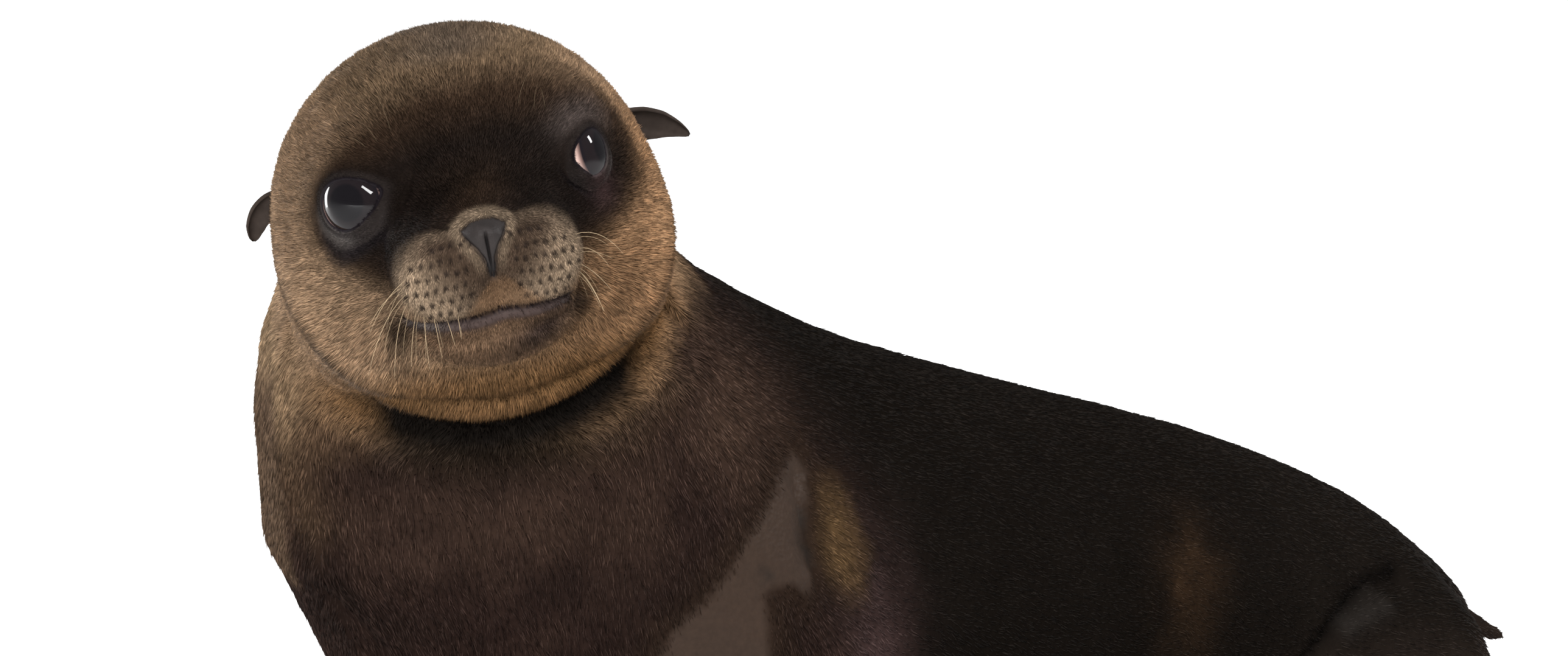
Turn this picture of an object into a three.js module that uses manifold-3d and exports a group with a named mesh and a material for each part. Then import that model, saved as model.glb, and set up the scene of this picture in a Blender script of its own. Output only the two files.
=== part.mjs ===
// A sea lion pup, life size, standing on its four flippers with its head turned to look over its left side.
// Millimetres, +Z up, the body along Y with the breast towards -Y, the animal's left towards +X.
// The head, body and limbs are spheres whose vertices are moved out to the surface of a field of rounded
// lumps. The neck, chest, trunk and rump are one such shape round the spine, parted by thin plane cuts.
// The flippers are spheres pressed flat on the floor and drawn out to an outline of five digits.

import * as THREE from "three";
import { mergeVertices } from "three/addons/utils/BufferGeometryUtils.js";
import Module from "manifold-3d";

const wasm = await Module();
wasm.setup();

// ---------------------------------------------------------------- driving dimensions

const CLEARANCE = 0.3; // air between neighbouring solids
const HEAD_ROOM = 2.4; // what the neck and ears keep clear of the head's surface, which is faceted
const FAR = 700; // half size of the blocks that trim a solid

// Round sections along the spine, from the root of the tail to the nape. The body is narrower than deep.
const SPINE = {
  tail_root: { at: [0, 348, 78], r: 18 },
  croup: { at: [0, 314, 87], r: 33 },
  rump: { at: [0, 255, 104], r: 51 },
  loin: { at: [0, 160, 125], r: 68 },
  belly: { at: [0, 55, 143], r: 83 },
  ribs: { at: [0, -50, 163], r: 98 },
  breast: { at: [0, -147, 204.5], r: 103 },
  neck: { at: [-3, -178.5, 254], r: 83.5 },
  throat: { at: [2, -191.5, 290], r: 61.5 },
  nape: { at: [9, -206, 313], r: 48 },
};
const BODY_WIDTH = 0.96;
const BODY_FILLET = 26;
const SHOULDER = { at: [64, -122, 163], r: [45, 56, 62] };
const THIGH = { at: [42, 270, 73], r: [36, 55, 42] };
const NECK_CUT = { at: [0, -140, 219], normal: [0, -0.62, 0.78] };
const CHEST_END = -45; // Y of the cuts that part the trunk
const LOIN_END = 150;

// The head's own axes: X to its left, Y to the back of the skull, Z up, from midway between the ears. The
// core is a place inside it from which its surface is drawn out.
const HEAD = { at: [25, -211, 337], turn: 53.7, nod: -4, lean: -11, core: [0, -30, -18] };
const SKULL = { at: [-1, -3, -9], r: [68, 74, 63] };
const JOWL = { at: [0, 2, -38], r: [68, 60, 58] };
const CHEEK = { at: [38, -30, -36], r: [27, 34, 28] };
const MUZZLE = { at: [0, -64, -16], r: [30, 42, 24] };
const LIP_PAD = { at: [16, -82, -25], r: [16.5, 19, 15.5] };
const CHIN = { at: [0, -58, -44], r: [28, 36, 17] };
const BROW = { at: [31, -42, 15], r: [20, 20, 15] };
const SKULL_FILLET = 16;
const FACE_FILLET = 11;
const SOCKET_FILLET = 5;
const LIP_FILLET = 3;
const JAW = { at: [0, -62, -43], r: [33, 42, 22], lips: -38.5 };
const EYE = { at: [34, -47, 3.5], r: 16, outward: 37, bared: 7.5, socket: 19 };
const NOSE = {
  pad: { at: [0, -101, -11], r: [10.5, 9, 8.5] },
  foot: { at: [0, -102, -21], r: [3.5, 6, 9] },
  core: [0, -102, -14],
  fillet: 5,
};
const EAR = {
  root: { at: [58, 4, 4], r: 7 },
  bend: { at: [72, 7, 1], r: 6 },
  tip: { at: [79, 11, -6], r: 2.6 },
  thin: 0.5,
  fillet: 3,
};

// A fore limb leaves the chest at the shoulder and bends out at the wrist. A hind limb is bound in the skin
// of the rump down to its heel. Each ends on the floor, in a small flat sole.
const FORE_LIMB = {
  shoulder: { at: [68, -118, 157], r: 48 },
  elbow: { at: [86, -138, 98], r: 42 },
  wrist: { at: [103, -143, 40], r: 35 },
  heel: { at: [118, -140, 12], r: 28 },
};
const FORE_LIMB_THIN = [0.68, 1, 1];
const HIND_LIMB = {
  hip: { at: [44, 276, 70], r: 42 },
  hock: { at: [56, 302, 38], r: 35 },
  heel: { at: [64, 303, 14], r: 28 },
};
const HIND_LIMB_THIN = [0.8, 1, 1];

// A flipper lies on the floor. Its heading is measured from straight out to the side, and its digits'
// angles from the heading, both turning to the tail. notch is how far out the web between two digits is.
const FORE_FLIPPER = {
  heel: [118, -140],
  heading: 30,
  length: 192,
  angles: [-12, -3, 7, 18, 31],
  lengths: [1, 0.97, 0.88, 0.77, 0.64],
  chord: 31,
  tip: 7,
  notch: 0.985,
  height: [23, 5],
};
const HIND_FLIPPER = {
  heel: [64, 306],
  heading: -66,
  length: 168,
  angles: [22, 11, 0, -11, -22],
  lengths: [1, 0.93, 0.92, 0.94, 1],
  chord: 23,
  tip: 9,
  notch: 0.9,
  height: [20, 6],
};
const SOLE_RIM = 1.4; // thickness at a flipper's edge
const RIDGE = 2.2; // height of a digit above the web
const CLAW = { digits: [1, 2, 3], reach: 0.62, outward: 0.3, length: 13, r: 2.2, tip_r: 0.88, sunk: 1 };

const TAIL = { root: [0, 326, 93], tip: [0, 391, 63], r: 19, tip_r: 6, thin: [1, 1, 0.6] };

// Segments round each solid and rings along it.
const FINENESS = {
  head: [32, 22],
  head_room: [20, 14],
  jaw: [16, 10],
  nose: [14, 10],
  eye: [14, 9],
  ear: [10, 9],
  body: [24, 28],
  tail: [12, 9],
  limb: [16, 10],
  flipper: [48, 5],
  claw: [6, 4],
};

const COLOURS = {
  fur: { color: 0x3a2c22, roughness: 0.7 },
  pale_fur: { color: 0x7d6244, roughness: 0.75 },
  skin: { color: 0x2c2826, roughness: 0.55 },
  eye: { color: 0x0b0a0c, roughness: 0.05 },
  claw: { color: 0x3b332c, roughness: 0.4 },
};

// ---------------------------------------------------------------- fields: distance, negative inside

const point = (p) => new THREE.Vector3(...p);
const mirrored = (p, side) => [p[0] * side, p[1], p[2]];
const lump = ({ at, r }) => ellipsoid(at, r);
const bothSides = ({ at, r }) => [1, -1].map((side) => ellipsoid(mirrored(at, side), r));
const grown = (field, swell) => (p) => field(p) - swell;

function ellipsoid(centre, radii) {
  const c = point(centre);
  const r = point(radii);
  return (p) => {
    const q = p.clone().sub(c).divide(r);
    const k = q.length();
    return (k * (k - 1)) / Math.max(q.divide(r).length(), 1e-6);
  };
}

// A cone with round ends. thin scales its thickness along X, Y and Z.
function cone(from, r_from, to, r_to, thin = [1, 1, 1]) {
  const a = point(from);
  const axis = point(to).sub(a);
  const length_sq = axis.lengthSq();
  const squash = point(thin);
  const least = Math.min(...thin);
  return (p) => {
    const q = p.clone().sub(a);
    const t = THREE.MathUtils.clamp(q.dot(axis) / length_sq, 0, 1);
    q.addScaledVector(axis, -t).divide(squash);
    return (q.length() - THREE.MathUtils.lerp(r_from, r_to, t)) * least;
  };
}

// The smaller of two distances, rounded off where they are nearly equal.
function smaller(a, b, fillet) {
  return Math.min(a, b) - Math.max(fillet - Math.abs(a - b), 0) ** 2 / (4 * fillet);
}

// The union of fields, with a fillet where they meet.
function blended(fillet, ...fields) {
  return (p) => fields.reduce((near, field) => smaller(near, field(p), fillet), FAR);
}

const carved = (fillet, field, cutter) => (p) => -smaller(-field(p), cutter(p), fillet);

// A smooth tube through named stations, as many short cones.
function chain(stations, thin, steps = 24) {
  const links = Object.values(stations);
  const through = (points) => new THREE.CatmullRomCurve3(points, false, "catmullrom", 0.5);
  const centres = through(links.map((link) => point(link.at)));
  const radii = through(links.map((link) => new THREE.Vector3(link.r, 0, 0)));
  const cones = [];
  for (let i = 0; i < steps; i++) {
    const [t, next] = [i / steps, (i + 1) / steps];
    const ends = [centres.getPoint(t).toArray(), centres.getPoint(next).toArray()];
    cones.push(cone(ends[0], radii.getPoint(t).x, ends[1], radii.getPoint(next).x, thin));
  }
  return (p) => cones.reduce((near, field) => Math.min(near, field(p)), FAR);
}

// ---------------------------------------------------------------- meshes wrapped round a field

// How far the surface is from a point inside it, in one direction.
function surfaceDistance(field, origin, direction) {
  const STEP = 3;
  const p = new THREE.Vector3();
  const inside = (d) => field(p.copy(origin).addScaledVector(direction, d)) < 0;
  let outer = 0;
  while (inside(outer) && outer < FAR) outer += STEP;
  let inner = Math.max(outer - STEP, 0);
  for (let i = 0; i < 9; i++) {
    const middle = (inner + outer) / 2;
    if (inside(middle)) inner = middle;
    else outer = middle;
  }
  return inner;
}

// A sphere blown out from one point inside the field, its rings round an axis that points to the pole.
function blownUp(field, centre, pole, fineness) {
  const axis = point(pole).normalize();
  const turn = new THREE.Quaternion().setFromUnitVectors(new THREE.Vector3(0, 1, 0), axis);
  const origin = point(centre);
  return moved(mergedSphere(fineness), (v) => {
    const direction = v.clone().applyQuaternion(turn);
    return origin.clone().addScaledVector(direction, surfaceDistance(field, origin, direction));
  });
}

// Rings round a curved spine, each blown out square to it. The spine is first drawn out to the surface.
function wrapped(field, spine_points, fineness) {
  const inner = spine_points.map(point);
  const last = inner.length - 1;
  const ends = [
    [inner[0], inner[0].clone().sub(inner[1]).normalize()],
    [inner[last], inner[last].clone().sub(inner[last - 1]).normalize()],
  ].map(([from, away]) => from.clone().addScaledVector(away, surfaceDistance(field, from, away)));
  const spine = new THREE.CatmullRomCurve3([ends[0], ...inner, ends[1]], false, "centripetal");
  return moved(mergedSphere(fineness), (v) => {
    const along = THREE.MathUtils.clamp((1 - v.y) / 2, 0, 1);
    const origin = spine.getPointAt(along);
    const out = Math.hypot(v.x, v.z);
    if (out < 1e-6) return origin;
    const tangent = spine.getTangentAt(along);
    const side = new THREE.Vector3(1, 0, 0).addScaledVector(tangent, -tangent.x).normalize();
    const up = new THREE.Vector3().crossVectors(side, tangent);
    const direction = side.multiplyScalar(v.x / out).addScaledVector(up, v.z / out);
    return origin.addScaledVector(direction, surfaceDistance(field, origin, direction));
  });
}

function plain(shape) {
  shape.deleteAttribute("normal");
  shape.deleteAttribute("uv");
  return mergeVertices(shape, 1e-5);
}

const mergedSphere = ([segments, rings]) => plain(new THREE.SphereGeometry(1, segments, rings));

function moved(shape, place) {
  const positions = shape.getAttribute("position");
  const v = new THREE.Vector3();
  for (let i = 0; i < positions.count; i++) {
    v.fromBufferAttribute(positions, i);
    positions.setXYZ(i, ...place(v).toArray());
  }
  return shape;
}

// ---------------------------------------------------------------- solids: closed meshes that can be cut

function solid(shape) {
  const closed = mergeVertices(shape, 1e-4);
  const vertProperties = new Float32Array(closed.getAttribute("position").array);
  const triVerts = new Uint32Array(closed.index.array);
  const made = new wasm.Manifold(new wasm.Mesh({ numProp: 3, vertProperties, triVerts }));
  if (made.volume() > 0) return made;
  return new wasm.Manifold(new wasm.Mesh({ numProp: 3, vertProperties, triVerts: triVerts.reverse() }));
}

// A big block that fills everything on the side of a plane that its normal points to.
function halfSpace(on_plane, normal) {
  const n = point(normal).normalize();
  const block = plain(new THREE.BoxGeometry(2 * FAR, 2 * FAR, 2 * FAR));
  block.applyQuaternion(new THREE.Quaternion().setFromUnitVectors(new THREE.Vector3(0, 0, 1), n));
  return solid(block.translate(...point(on_plane).addScaledVector(n, FAR).toArray()));
}

const beyond = (body, on_plane, normal) => body.intersect(halfSpace(on_plane, normal));
const aboveFloor = (body) => beyond(body, [0, 0, 0], [0, 0, 1]);

// The two pieces on either side of a plane, half the clearance back from it.
function parted(body, on_plane, normal) {
  const n = point(normal).normalize();
  return [1, -1].map((sign) => {
    const facing = n.clone().multiplyScalar(sign);
    const back = point(on_plane).addScaledVector(facing, CLEARANCE / 2);
    return beyond(body, back.toArray(), facing.toArray());
  });
}

const largest = (body) => body.decompose().sort((a, b) => b.volume() - a.volume())[0];

const animal = new THREE.Group();

function add(name, body, colour) {
  const whole = largest(body).getMesh();
  const shape = new THREE.BufferGeometry();
  shape.setAttribute("position", new THREE.BufferAttribute(whole.vertProperties, 3));
  shape.setIndex(new THREE.BufferAttribute(whole.triVerts, 1));
  const mesh = new THREE.Mesh(shape, new THREE.MeshStandardMaterial(COLOURS[colour]));
  mesh.name = name;
  animal.add(mesh);
}

// ---------------------------------------------------------------- head

const head_angles = [HEAD.nod, HEAD.lean, HEAD.turn].map(THREE.MathUtils.degToRad);
const head_pose = new THREE.Matrix4().makeRotationFromEuler(new THREE.Euler(...head_angles, "ZXY"));
head_pose.setPosition(...HEAD.at);
const inHeadPose = (shape) => shape.applyMatrix4(head_pose);
const SIDES = { left: 1, right: -1 };

function skullField() {
  const ball = blended(SKULL_FILLET, lump(SKULL), lump(JOWL), ...bothSides(CHEEK));
  const pads = blended(LIP_FILLET, ...bothSides(LIP_PAD));
  const face = blended(FACE_FILLET, ball, ...bothSides(BROW), lump(MUZZLE), lump(CHIN), pads);
  return bothSides(socket()).reduce((field, hollow) => carved(SOCKET_FILLET, field, hollow), face);
}

// The hollow round an eye is a ball that leaves the front of the eyeball bare.
function socket() {
  const outward = THREE.MathUtils.degToRad(EYE.outward);
  const away = EYE.r - EYE.bared + EYE.socket;
  const at = [EYE.at[0] + Math.sin(outward) * away, EYE.at[1] - Math.cos(outward) * away, EYE.at[2]];
  return { at, r: [EYE.socket, EYE.socket, EYE.socket] };
}

function headSolid(swell, fineness = FINENESS.head) {
  const towards_nose = [0, -1, -0.08];
  return solid(inHeadPose(blownUp(grown(skullField(), swell), HEAD.core, towards_nose, fineness)));
}

// A coarser and slightly larger head, for what only has to stay clear of it.
const headRoom = () => headSolid(HEAD_ROOM, FINENESS.head_room);

function noseSolid(swell) {
  const field = grown(blended(NOSE.fillet, lump(NOSE.pad), lump(NOSE.foot)), swell);
  return solid(inHeadPose(blownUp(field, NOSE.core, [0, -1, 0], FINENESS.nose)));
}

function eyeball(side, swell) {
  const r = EYE.r + swell;
  const ball = mergedSphere(FINENESS.eye).scale(r, r, r);
  return solid(inHeadPose(ball.translate(...mirrored(EYE.at, side))));
}

// A small rolled ear, pointed, that stands out and droops.
function earSolid(side) {
  const spine = [EAR.root, EAR.bend, EAR.tip].map((station) => mirrored(station.at, side));
  const thin = [1, EAR.thin, 1];
  const field = blended(
    EAR.fillet,
    cone(spine[0], EAR.root.r, spine[1], EAR.bend.r, thin),
    cone(spine[1], EAR.bend.r, spine[2], EAR.tip.r, thin),
  );
  return solid(inHeadPose(wrapped(field, spine, FINENESS.ear)));
}

// The jaw is what an ellipsoid takes out of the face below the line of the lips.
function jawRoom(grow) {
  const egg = mergedSphere(FINENESS.jaw).scale(...JAW.r.map((r) => r + grow)).translate(...JAW.at);
  const below_lips = new THREE.Vector3(0, 0, -1);
  const lips = new THREE.Vector3(0, 0, JAW.lips + grow).applyMatrix4(head_pose);
  return beyond(solid(inHeadPose(egg)), lips.toArray(), below_lips.transformDirection(head_pose).toArray());
}

function addHead() {
  const face = headSolid(0).subtract(noseSolid(CLEARANCE));
  let head = face.subtract(jawRoom(CLEARANCE));
  for (const [name, side] of Object.entries(SIDES)) {
    head = head.subtract(eyeball(side, CLEARANCE));
    add("eye_" + name, eyeball(side, 0), "eye");
    add("ear_" + name, earSolid(side).subtract(headRoom()), "skin");
  }
  add("head", head, "pale_fur");
  add("lower_jaw", face.intersect(jawRoom(0)), "pale_fur");
  add("nose", noseSolid(0), "skin");
}

// ---------------------------------------------------------------- neck, chest, trunk, rump and tail

function bodySolid(swell) {
  const tube = chain(SPINE, [BODY_WIDTH, 1, 1]);
  const field = blended(BODY_FILLET, tube, ...bothSides(SHOULDER), ...bothSides(THIGH));
  const spine = Object.values(SPINE).map((station) => station.at);
  return solid(wrapped(grown(field, swell), spine, FINENESS.body));
}

function tailSolid(swell) {
  const field = grown(cone(TAIL.root, TAIL.r, TAIL.tip, TAIL.tip_r, TAIL.thin), swell);
  return solid(wrapped(field, [TAIL.root, TAIL.tip], FINENESS.tail));
}

function addBody() {
  const [neck, below] = parted(bodySolid(0), NECK_CUT.at, NECK_CUT.normal);
  const [behind, chest] = parted(below, [0, CHEST_END, 0], [0, 1, 0]);
  const [rump, trunk] = parted(behind, [0, LOIN_END, 0], [0, 1, 0]);
  add("neck", neck.subtract(headRoom()), "pale_fur");
  add("chest", chest, "fur");
  add("trunk", trunk, "fur");
  add("rump", rump.subtract(tailSolid(CLEARANCE)), "fur");
  add("tail", tailSolid(0), "fur");
}

// ---------------------------------------------------------------- limbs

function limbSolid(stations, thin, side, swell) {
  const turned = Object.values(stations).map((station) => ({ ...station, at: mirrored(station.at, side) }));
  const spine = turned.map((station) => station.at);
  const field = grown(chain(turned, thin, 10), swell);
  const whole = solid(wrapped(field, spine, FINENESS.limb));
  return beyond(aboveFloor(whole), [side * CLEARANCE, 0, 0], [side, 0, 0]);
}

// A place on the floor under a flipper, some way from its heel, or behind the heel.
function onFlipper(flipper, angle, distance, z = 0) {
  const a = THREE.MathUtils.degToRad(flipper.heading + angle);
  const [x, y] = flipper.heel;
  return new THREE.Vector3(x + Math.cos(a) * distance, y + Math.sin(a) * distance, z);
}

// The outline runs out along the first digit, round each tip, into each notch of the web and back to the
// heel. The heel is a little shorter behind than it is wide, and the edges bulge beside the outer digits.
function flipperOutline(flipper) {
  const { angles, lengths, length, chord, tip, notch } = flipper;
  const turning = Math.sign(angles[4] - angles[0]);
  // The rounded tip of a digit: its middle, and a place on each side a little nearer the heel.
  const tipPoint = (angle, reach, width) => {
    const aside = turning * THREE.MathUtils.radToDeg(width / reach);
    return onFlipper(flipper, angle + aside, reach - Math.abs(width) * 0.4);
  };
  const edge = (digit) => {
    const corner = onFlipper(flipper, Math.sign(angles[digit]) * 90, chord);
    const bulge = corner.clone().sub(onFlipper(flipper, 0, 0)).multiplyScalar(0.3);
    const middle = onFlipper(flipper, angles[digit], (length * lengths[digit]) / 2);
    return [corner, middle.lerp(corner, 0.25).add(bulge)];
  };
  const points = [onFlipper(flipper, 180, chord * 0.8), ...edge(0)];
  angles.forEach((angle, i) => {
    const reach = length * lengths[i];
    points.push(...[-tip, 0, tip].map((width) => tipPoint(angle, reach, width)));
    if (i === 4) return;
    const web = length * ((lengths[i] + lengths[i + 1]) / 2) * notch;
    points.push(onFlipper(flipper, (angle + angles[i + 1]) / 2, web));
  });
  points.push(...edge(4).reverse());
  return new THREE.CatmullRomCurve3(points, true, "centripetal");
}

// How high the upper side of a flipper is over a place that lies this share of the way out to its edge.
function flipperHeight(flipper, place, outward) {
  const [x, y] = flipper.heel;
  const distance = Math.hypot(place.x - x, place.y - y);
  const angle = THREE.MathUtils.radToDeg(Math.atan2(place.y - y, place.x - x)) - flipper.heading;
  const nearest = Math.min(...flipper.angles.map((digit) => Math.abs(angle - digit)));
  const spacing = Math.abs(flipper.angles[1] - flipper.angles[0]);
  const along = THREE.MathUtils.smoothstep(distance, 0, flipper.length * 0.8);
  const ridge = RIDGE * Math.max(1 - nearest / (spacing * 0.5), 0);
  const height = THREE.MathUtils.lerp(...flipper.height, along) + ridge;
  return SOLE_RIM + (height - SOLE_RIM) * Math.sqrt(1 - outward ** 2);
}

// The upper half of the sphere is the arched top of the flipper, and its lower half the flat sole.
function flipperSolid(flipper, side) {
  const outline = flipperOutline(flipper);
  const middle_angle = (flipper.angles[0] + flipper.angles[4]) / 2;
  const middle = onFlipper(flipper, middle_angle, flipper.length * 0.45);
  const shape = moved(mergedSphere(FINENESS.flipper), (v) => {
    const outward = Math.min(Math.hypot(v.x, v.z), 1);
    const turn = Math.atan2(v.z, v.x) / (2 * Math.PI);
    const place = middle.clone().lerp(outline.getPoint((turn + 1) % 1), outward);
    place.z = v.y > -0.01 ? flipperHeight(flipper, place, outward) : 0;
    return place.multiply(new THREE.Vector3(side, 1, 1));
  });
  return solid(shape);
}

// Claws stand on the three middle digits of a hind flipper, well back from the tips.
function clawSolid(digit, side, swell) {
  const { angles, lengths, length } = HIND_FLIPPER;
  const start = length * lengths[digit] * CLAW.reach;
  const ends = [start, start + CLAW.length].map((reach) => {
    const place = onFlipper(HIND_FLIPPER, angles[digit], reach);
    place.z = flipperHeight(HIND_FLIPPER, place, CLAW.outward) - CLAW.sunk;
    return mirrored(place.toArray(), side);
  });
  const field = grown(cone(ends[0], CLAW.r, ends[1], CLAW.tip_r), swell);
  return solid(wrapped(field, ends, FINENESS.claw));
}

function addLimbs() {
  const body = bodySolid(CLEARANCE);
  for (const [name, side] of Object.entries(SIDES)) {
    const fore = (swell) => limbSolid(FORE_LIMB, FORE_LIMB_THIN, side, swell);
    const hind = (swell) => limbSolid(HIND_LIMB, HIND_LIMB_THIN, side, swell);
    add("fore_limb_" + name, fore(0).subtract(body), "fur");
    add("hind_limb_" + name, hind(0).subtract(body), "fur");
    add("fore_flipper_" + name, flipperSolid(FORE_FLIPPER, side).subtract(fore(CLEARANCE)), "skin");
    let toes = flipperSolid(HIND_FLIPPER, side).subtract(hind(CLEARANCE));
    for (const digit of CLAW.digits) {
      add(`claw_${name}_${digit + 1}`, clawSolid(digit, side, 0), "claw");
      toes = toes.subtract(clawSolid(digit, side, CLEARANCE));
    }
    add("hind_flipper_" + name, toes, "skin");
  }
}

addHead();
addBody();
addLimbs();

// The origin is on the floor, in the middle of the whole animal's box.
const box = new THREE.Box3().setFromObject(animal);
const centre = box.getCenter(new THREE.Vector3());
animal.position.set(-centre.x, -centre.y, -box.min.z);

export default animal;
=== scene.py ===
"""A life-size young sea lion for a museum floor, propped on its flippers with its head turned.

The packed solids are the frame. One skin stands for the nodes of flesh, a short coat of tufts
lies over it, and the eyes, nose, ears, whiskers and claws are pieces of their own.
"""

import math

import bmesh
import bpy
import numpy as np
from bpy.props import FloatProperty, FloatVectorProperty, IntProperty, PointerProperty
from mathutils import Matrix, Quaternion, Vector
from mathutils.bvhtree import BVHTree


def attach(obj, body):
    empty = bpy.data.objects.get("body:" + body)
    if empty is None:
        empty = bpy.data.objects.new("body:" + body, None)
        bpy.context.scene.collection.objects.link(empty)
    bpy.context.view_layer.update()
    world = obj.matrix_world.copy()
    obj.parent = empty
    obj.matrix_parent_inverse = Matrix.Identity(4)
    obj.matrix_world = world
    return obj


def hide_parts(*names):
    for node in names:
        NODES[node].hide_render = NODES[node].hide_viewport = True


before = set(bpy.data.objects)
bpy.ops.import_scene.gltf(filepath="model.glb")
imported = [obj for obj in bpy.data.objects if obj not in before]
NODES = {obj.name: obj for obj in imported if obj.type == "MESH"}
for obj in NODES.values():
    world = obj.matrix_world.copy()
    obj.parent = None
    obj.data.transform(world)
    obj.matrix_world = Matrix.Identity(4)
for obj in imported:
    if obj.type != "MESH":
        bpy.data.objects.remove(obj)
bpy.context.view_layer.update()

bl_info = {
    "name": "Sea lion",
    "version": (1, 0, 0),
    "blender": (4, 5, 0),
    "location": "3D view > Sidebar > Sea lion",
    "description": "Dresses the packed sea lion with its skin, coat, eyes, nose and whiskers",
    "category": "Object",
}

FLESH = (
    "head", "lower_jaw", "neck", "chest", "trunk", "rump", "tail",
    "fore_limb_left", "fore_limb_right", "fore_flipper_left", "fore_flipper_right",
    "hind_limb_left", "hind_limb_right", "hind_flipper_left", "hind_flipper_right",
)
SIDES = {1: "left", -1: "right"}

# The head's own frame, in millimetres: x to the animal's left, y to the back of the head, z up.
HEAD_AT = np.array((25.0, -265.35, 337.0))
HEAD_TURN, HEAD_NOD, HEAD_LEAN = np.radians((53.7, -4.0, -11.0))
HEAD_AXES = np.array(
    Matrix.Rotation(HEAD_TURN, 3, "Z")
    @ Matrix.Rotation(HEAD_NOD, 3, "X")
    @ Matrix.Rotation(HEAD_LEAN, 3, "Y")
)
# Middles and half sizes of rounded regions in that frame.
HEAD_MIDDLE = (0, -10, -14)
FACE_MIDDLE, FACE_SIZE = (0, -70, -18), (52, 45, 46)
MUZZLE_MIDDLE, MUZZLE_SIZE = (0, -88, -22), (34, 24, 26)
MUZZLE_FUR_MIDDLE, MUZZLE_FUR_SIZE = (0, -92, -22), (36, 26, 24)

# The left eye's centre, the radii of the eyeball and its socket, and the rise of the cornea as a
# share of the radius.
EYE_AT = np.array((34.0, -47.0, 3.5))
EYE_RADIUS = 16.0
SOCKET_RADIUS = 18.9
CORNEA_RISE = 0.022
# Each eye's opening: its reach in degrees from its axis, at turns from the nose side over the
# top. The animal's left eye, the first, is the less open one.
LID_OUTWARD = math.radians(38)
LID_REACH = {
    1: ((0, 27), (30, 25.5), (60, 23.5), (90, 26.5), (120, 32), (150, 26), (180, 22),
        (210, 23.5), (240, 26), (270, 27.5), (300, 22.5), (330, 23)),
    -1: ((0, 45), (14, 56), (30, 46), (60, 35.5), (90, 32), (120, 33.5), (150, 37.5), (180, 40.5),
         (210, 39), (240, 33.5), (270, 29), (300, 28), (330, 32)),
}
# Degrees past the edge of the opening at which the fold of the lower lid runs.
LID_FOLD = 22
# Height of the mouth, and height and radius of the arc of the jowl's rolls.
MOUTH_HEIGHT = -38.5
JOWL_HEIGHT = -12
JOWL_RADIUS = 62.0

# Outlines and creases of the body, in millimetres of the frame: along and up on both flanks,
# and across and up for the crease at the throat.
BARE_OUTLINE = (
    (-163, 234), (-177, 227), (-186, 218), (-195, 209), (-209, 196), (-219, 186), (-228, 175),
    (-233, 160), (-228, 120), (-212, 70), (-186, 62), (-188, 110), (-191, 150), (-191, 166),
    (-192, 177), (-194, 188), (-187, 191), (-174, 185), (-170, 195), (-171, 203), (-168, 211),
    (-163, 224),
)
HIND_CREASE = ((148, 88), (155, 98), (163, 108), (176, 115), (194, 120), (214, 120))
HIND_SWELL = ((171, 106), (193, 111))
ARM_CREASE = ((-167, 226), (-170, 212), (-172, 203), (-169, 196))
THROAT_CREASE = ((-3, 187), (5, 179), (11, 167))

# Outlines of the head, across and up in its own frame.
MASK_OUTLINE = (
    (14, 34), (26, 32), (38, 29), (49, 23), (56, 14), (59, 3), (58, -9), (50, -17), (40, -21),
    (32, -24), (20, -26), (-20, -26), (-32, -24), (-39, -19), (-46, -15), (-52, -8), (-53, 2),
    (-50, 11), (-44, 19), (-33, 26), (-23, 30), (-10, 34),
)
NOSE_SIDE = (
    (0, -5.2), (4.0, -5.7), (7.6, -7.9), (6.6, -11.2), (4.2, -14.4), (2.4, -18), (1.4, -22),
    (0.8, -25.6), (0, -27.2),
)
NOSE_OUTLINE = NOSE_SIDE + tuple((-across, up) for across, up in NOSE_SIDE[-2:0:-1])

# Soft patches of colour: the two coordinates of the middle, and two sizes. Those of the breast
# are across and up, those of the flanks along and up, those of the head across and up.
BREAST_LIGHT = (58, 224, 40, 28)
BREAST_DARK = ((100, 182, 18, 22), (2, 182, 24, 24))
SHOULDER = (-184, 250, 30, 28)
BELLY = (-130, 148, 21, 40)
ARMPIT = (-151, 198, 19, 29)
BROWN_FLANK = (69, 137, 19, 24)
BARE_SPOT = (-192, 194, 3.2, 1.8)
BRIDGE = (0, 3, 12, 10)
BESIDE_EYE = (40, -3, 14, 17)
UNDER_EYE = (34, -24, 13, 11)
LEFT_BROW = (42, 16, 9, 7)
LEFT_LID_CORNER = (45, -9, 5, 7)
DARK_LIP = (13, -49, 12, 5.5)
GREY_LIP = (-26, -1.6, 7.5, 1.5)


def srgb(red, green, blue):
    """A linear colour from values of 0 to 255."""
    return tuple(
        ((value / 255 + 0.055) / 1.055) ** 2.4 if value > 10 else value / 255 / 12.92
        for value in (red, green, blue)
    )


# ---- sizes and colours ----


def shade(name, text, *values):
    """A colour property with its default in values of 0 to 255."""
    return FloatVectorProperty(
        name=name, description=text, subtype="COLOR", size=3, min=0.0, max=1.0, default=srgb(*values)
    )


def length(name, text, value, most):
    """A length property in metres, with its default and its upper limit in millimetres."""
    return FloatProperty(
        name=name, description=text, subtype="DISTANCE", unit="LENGTH", precision=5,
        default=value / 1000, min=0.00001, max=most / 1000,
    )


def angle(name, text, value):
    """An angle property with its default in degrees."""
    return FloatProperty(
        name=name, description=text, subtype="ANGLE", unit="ROTATION",
        default=math.radians(value), min=-math.pi, max=math.pi,
    )


class SkinSizes(bpy.types.PropertyGroup):
    """Sizes of the skin"""

    grain: length("Grain", "Size of the cells that the skin is first made of", 3.8, 10)
    grow: length("Grow", "How far the solids are grown so that their cuts close", 0.6, 2)
    depth: length("Coat depth", "How far the skin lies inside the solids of the body", 2.4, 5)


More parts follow.
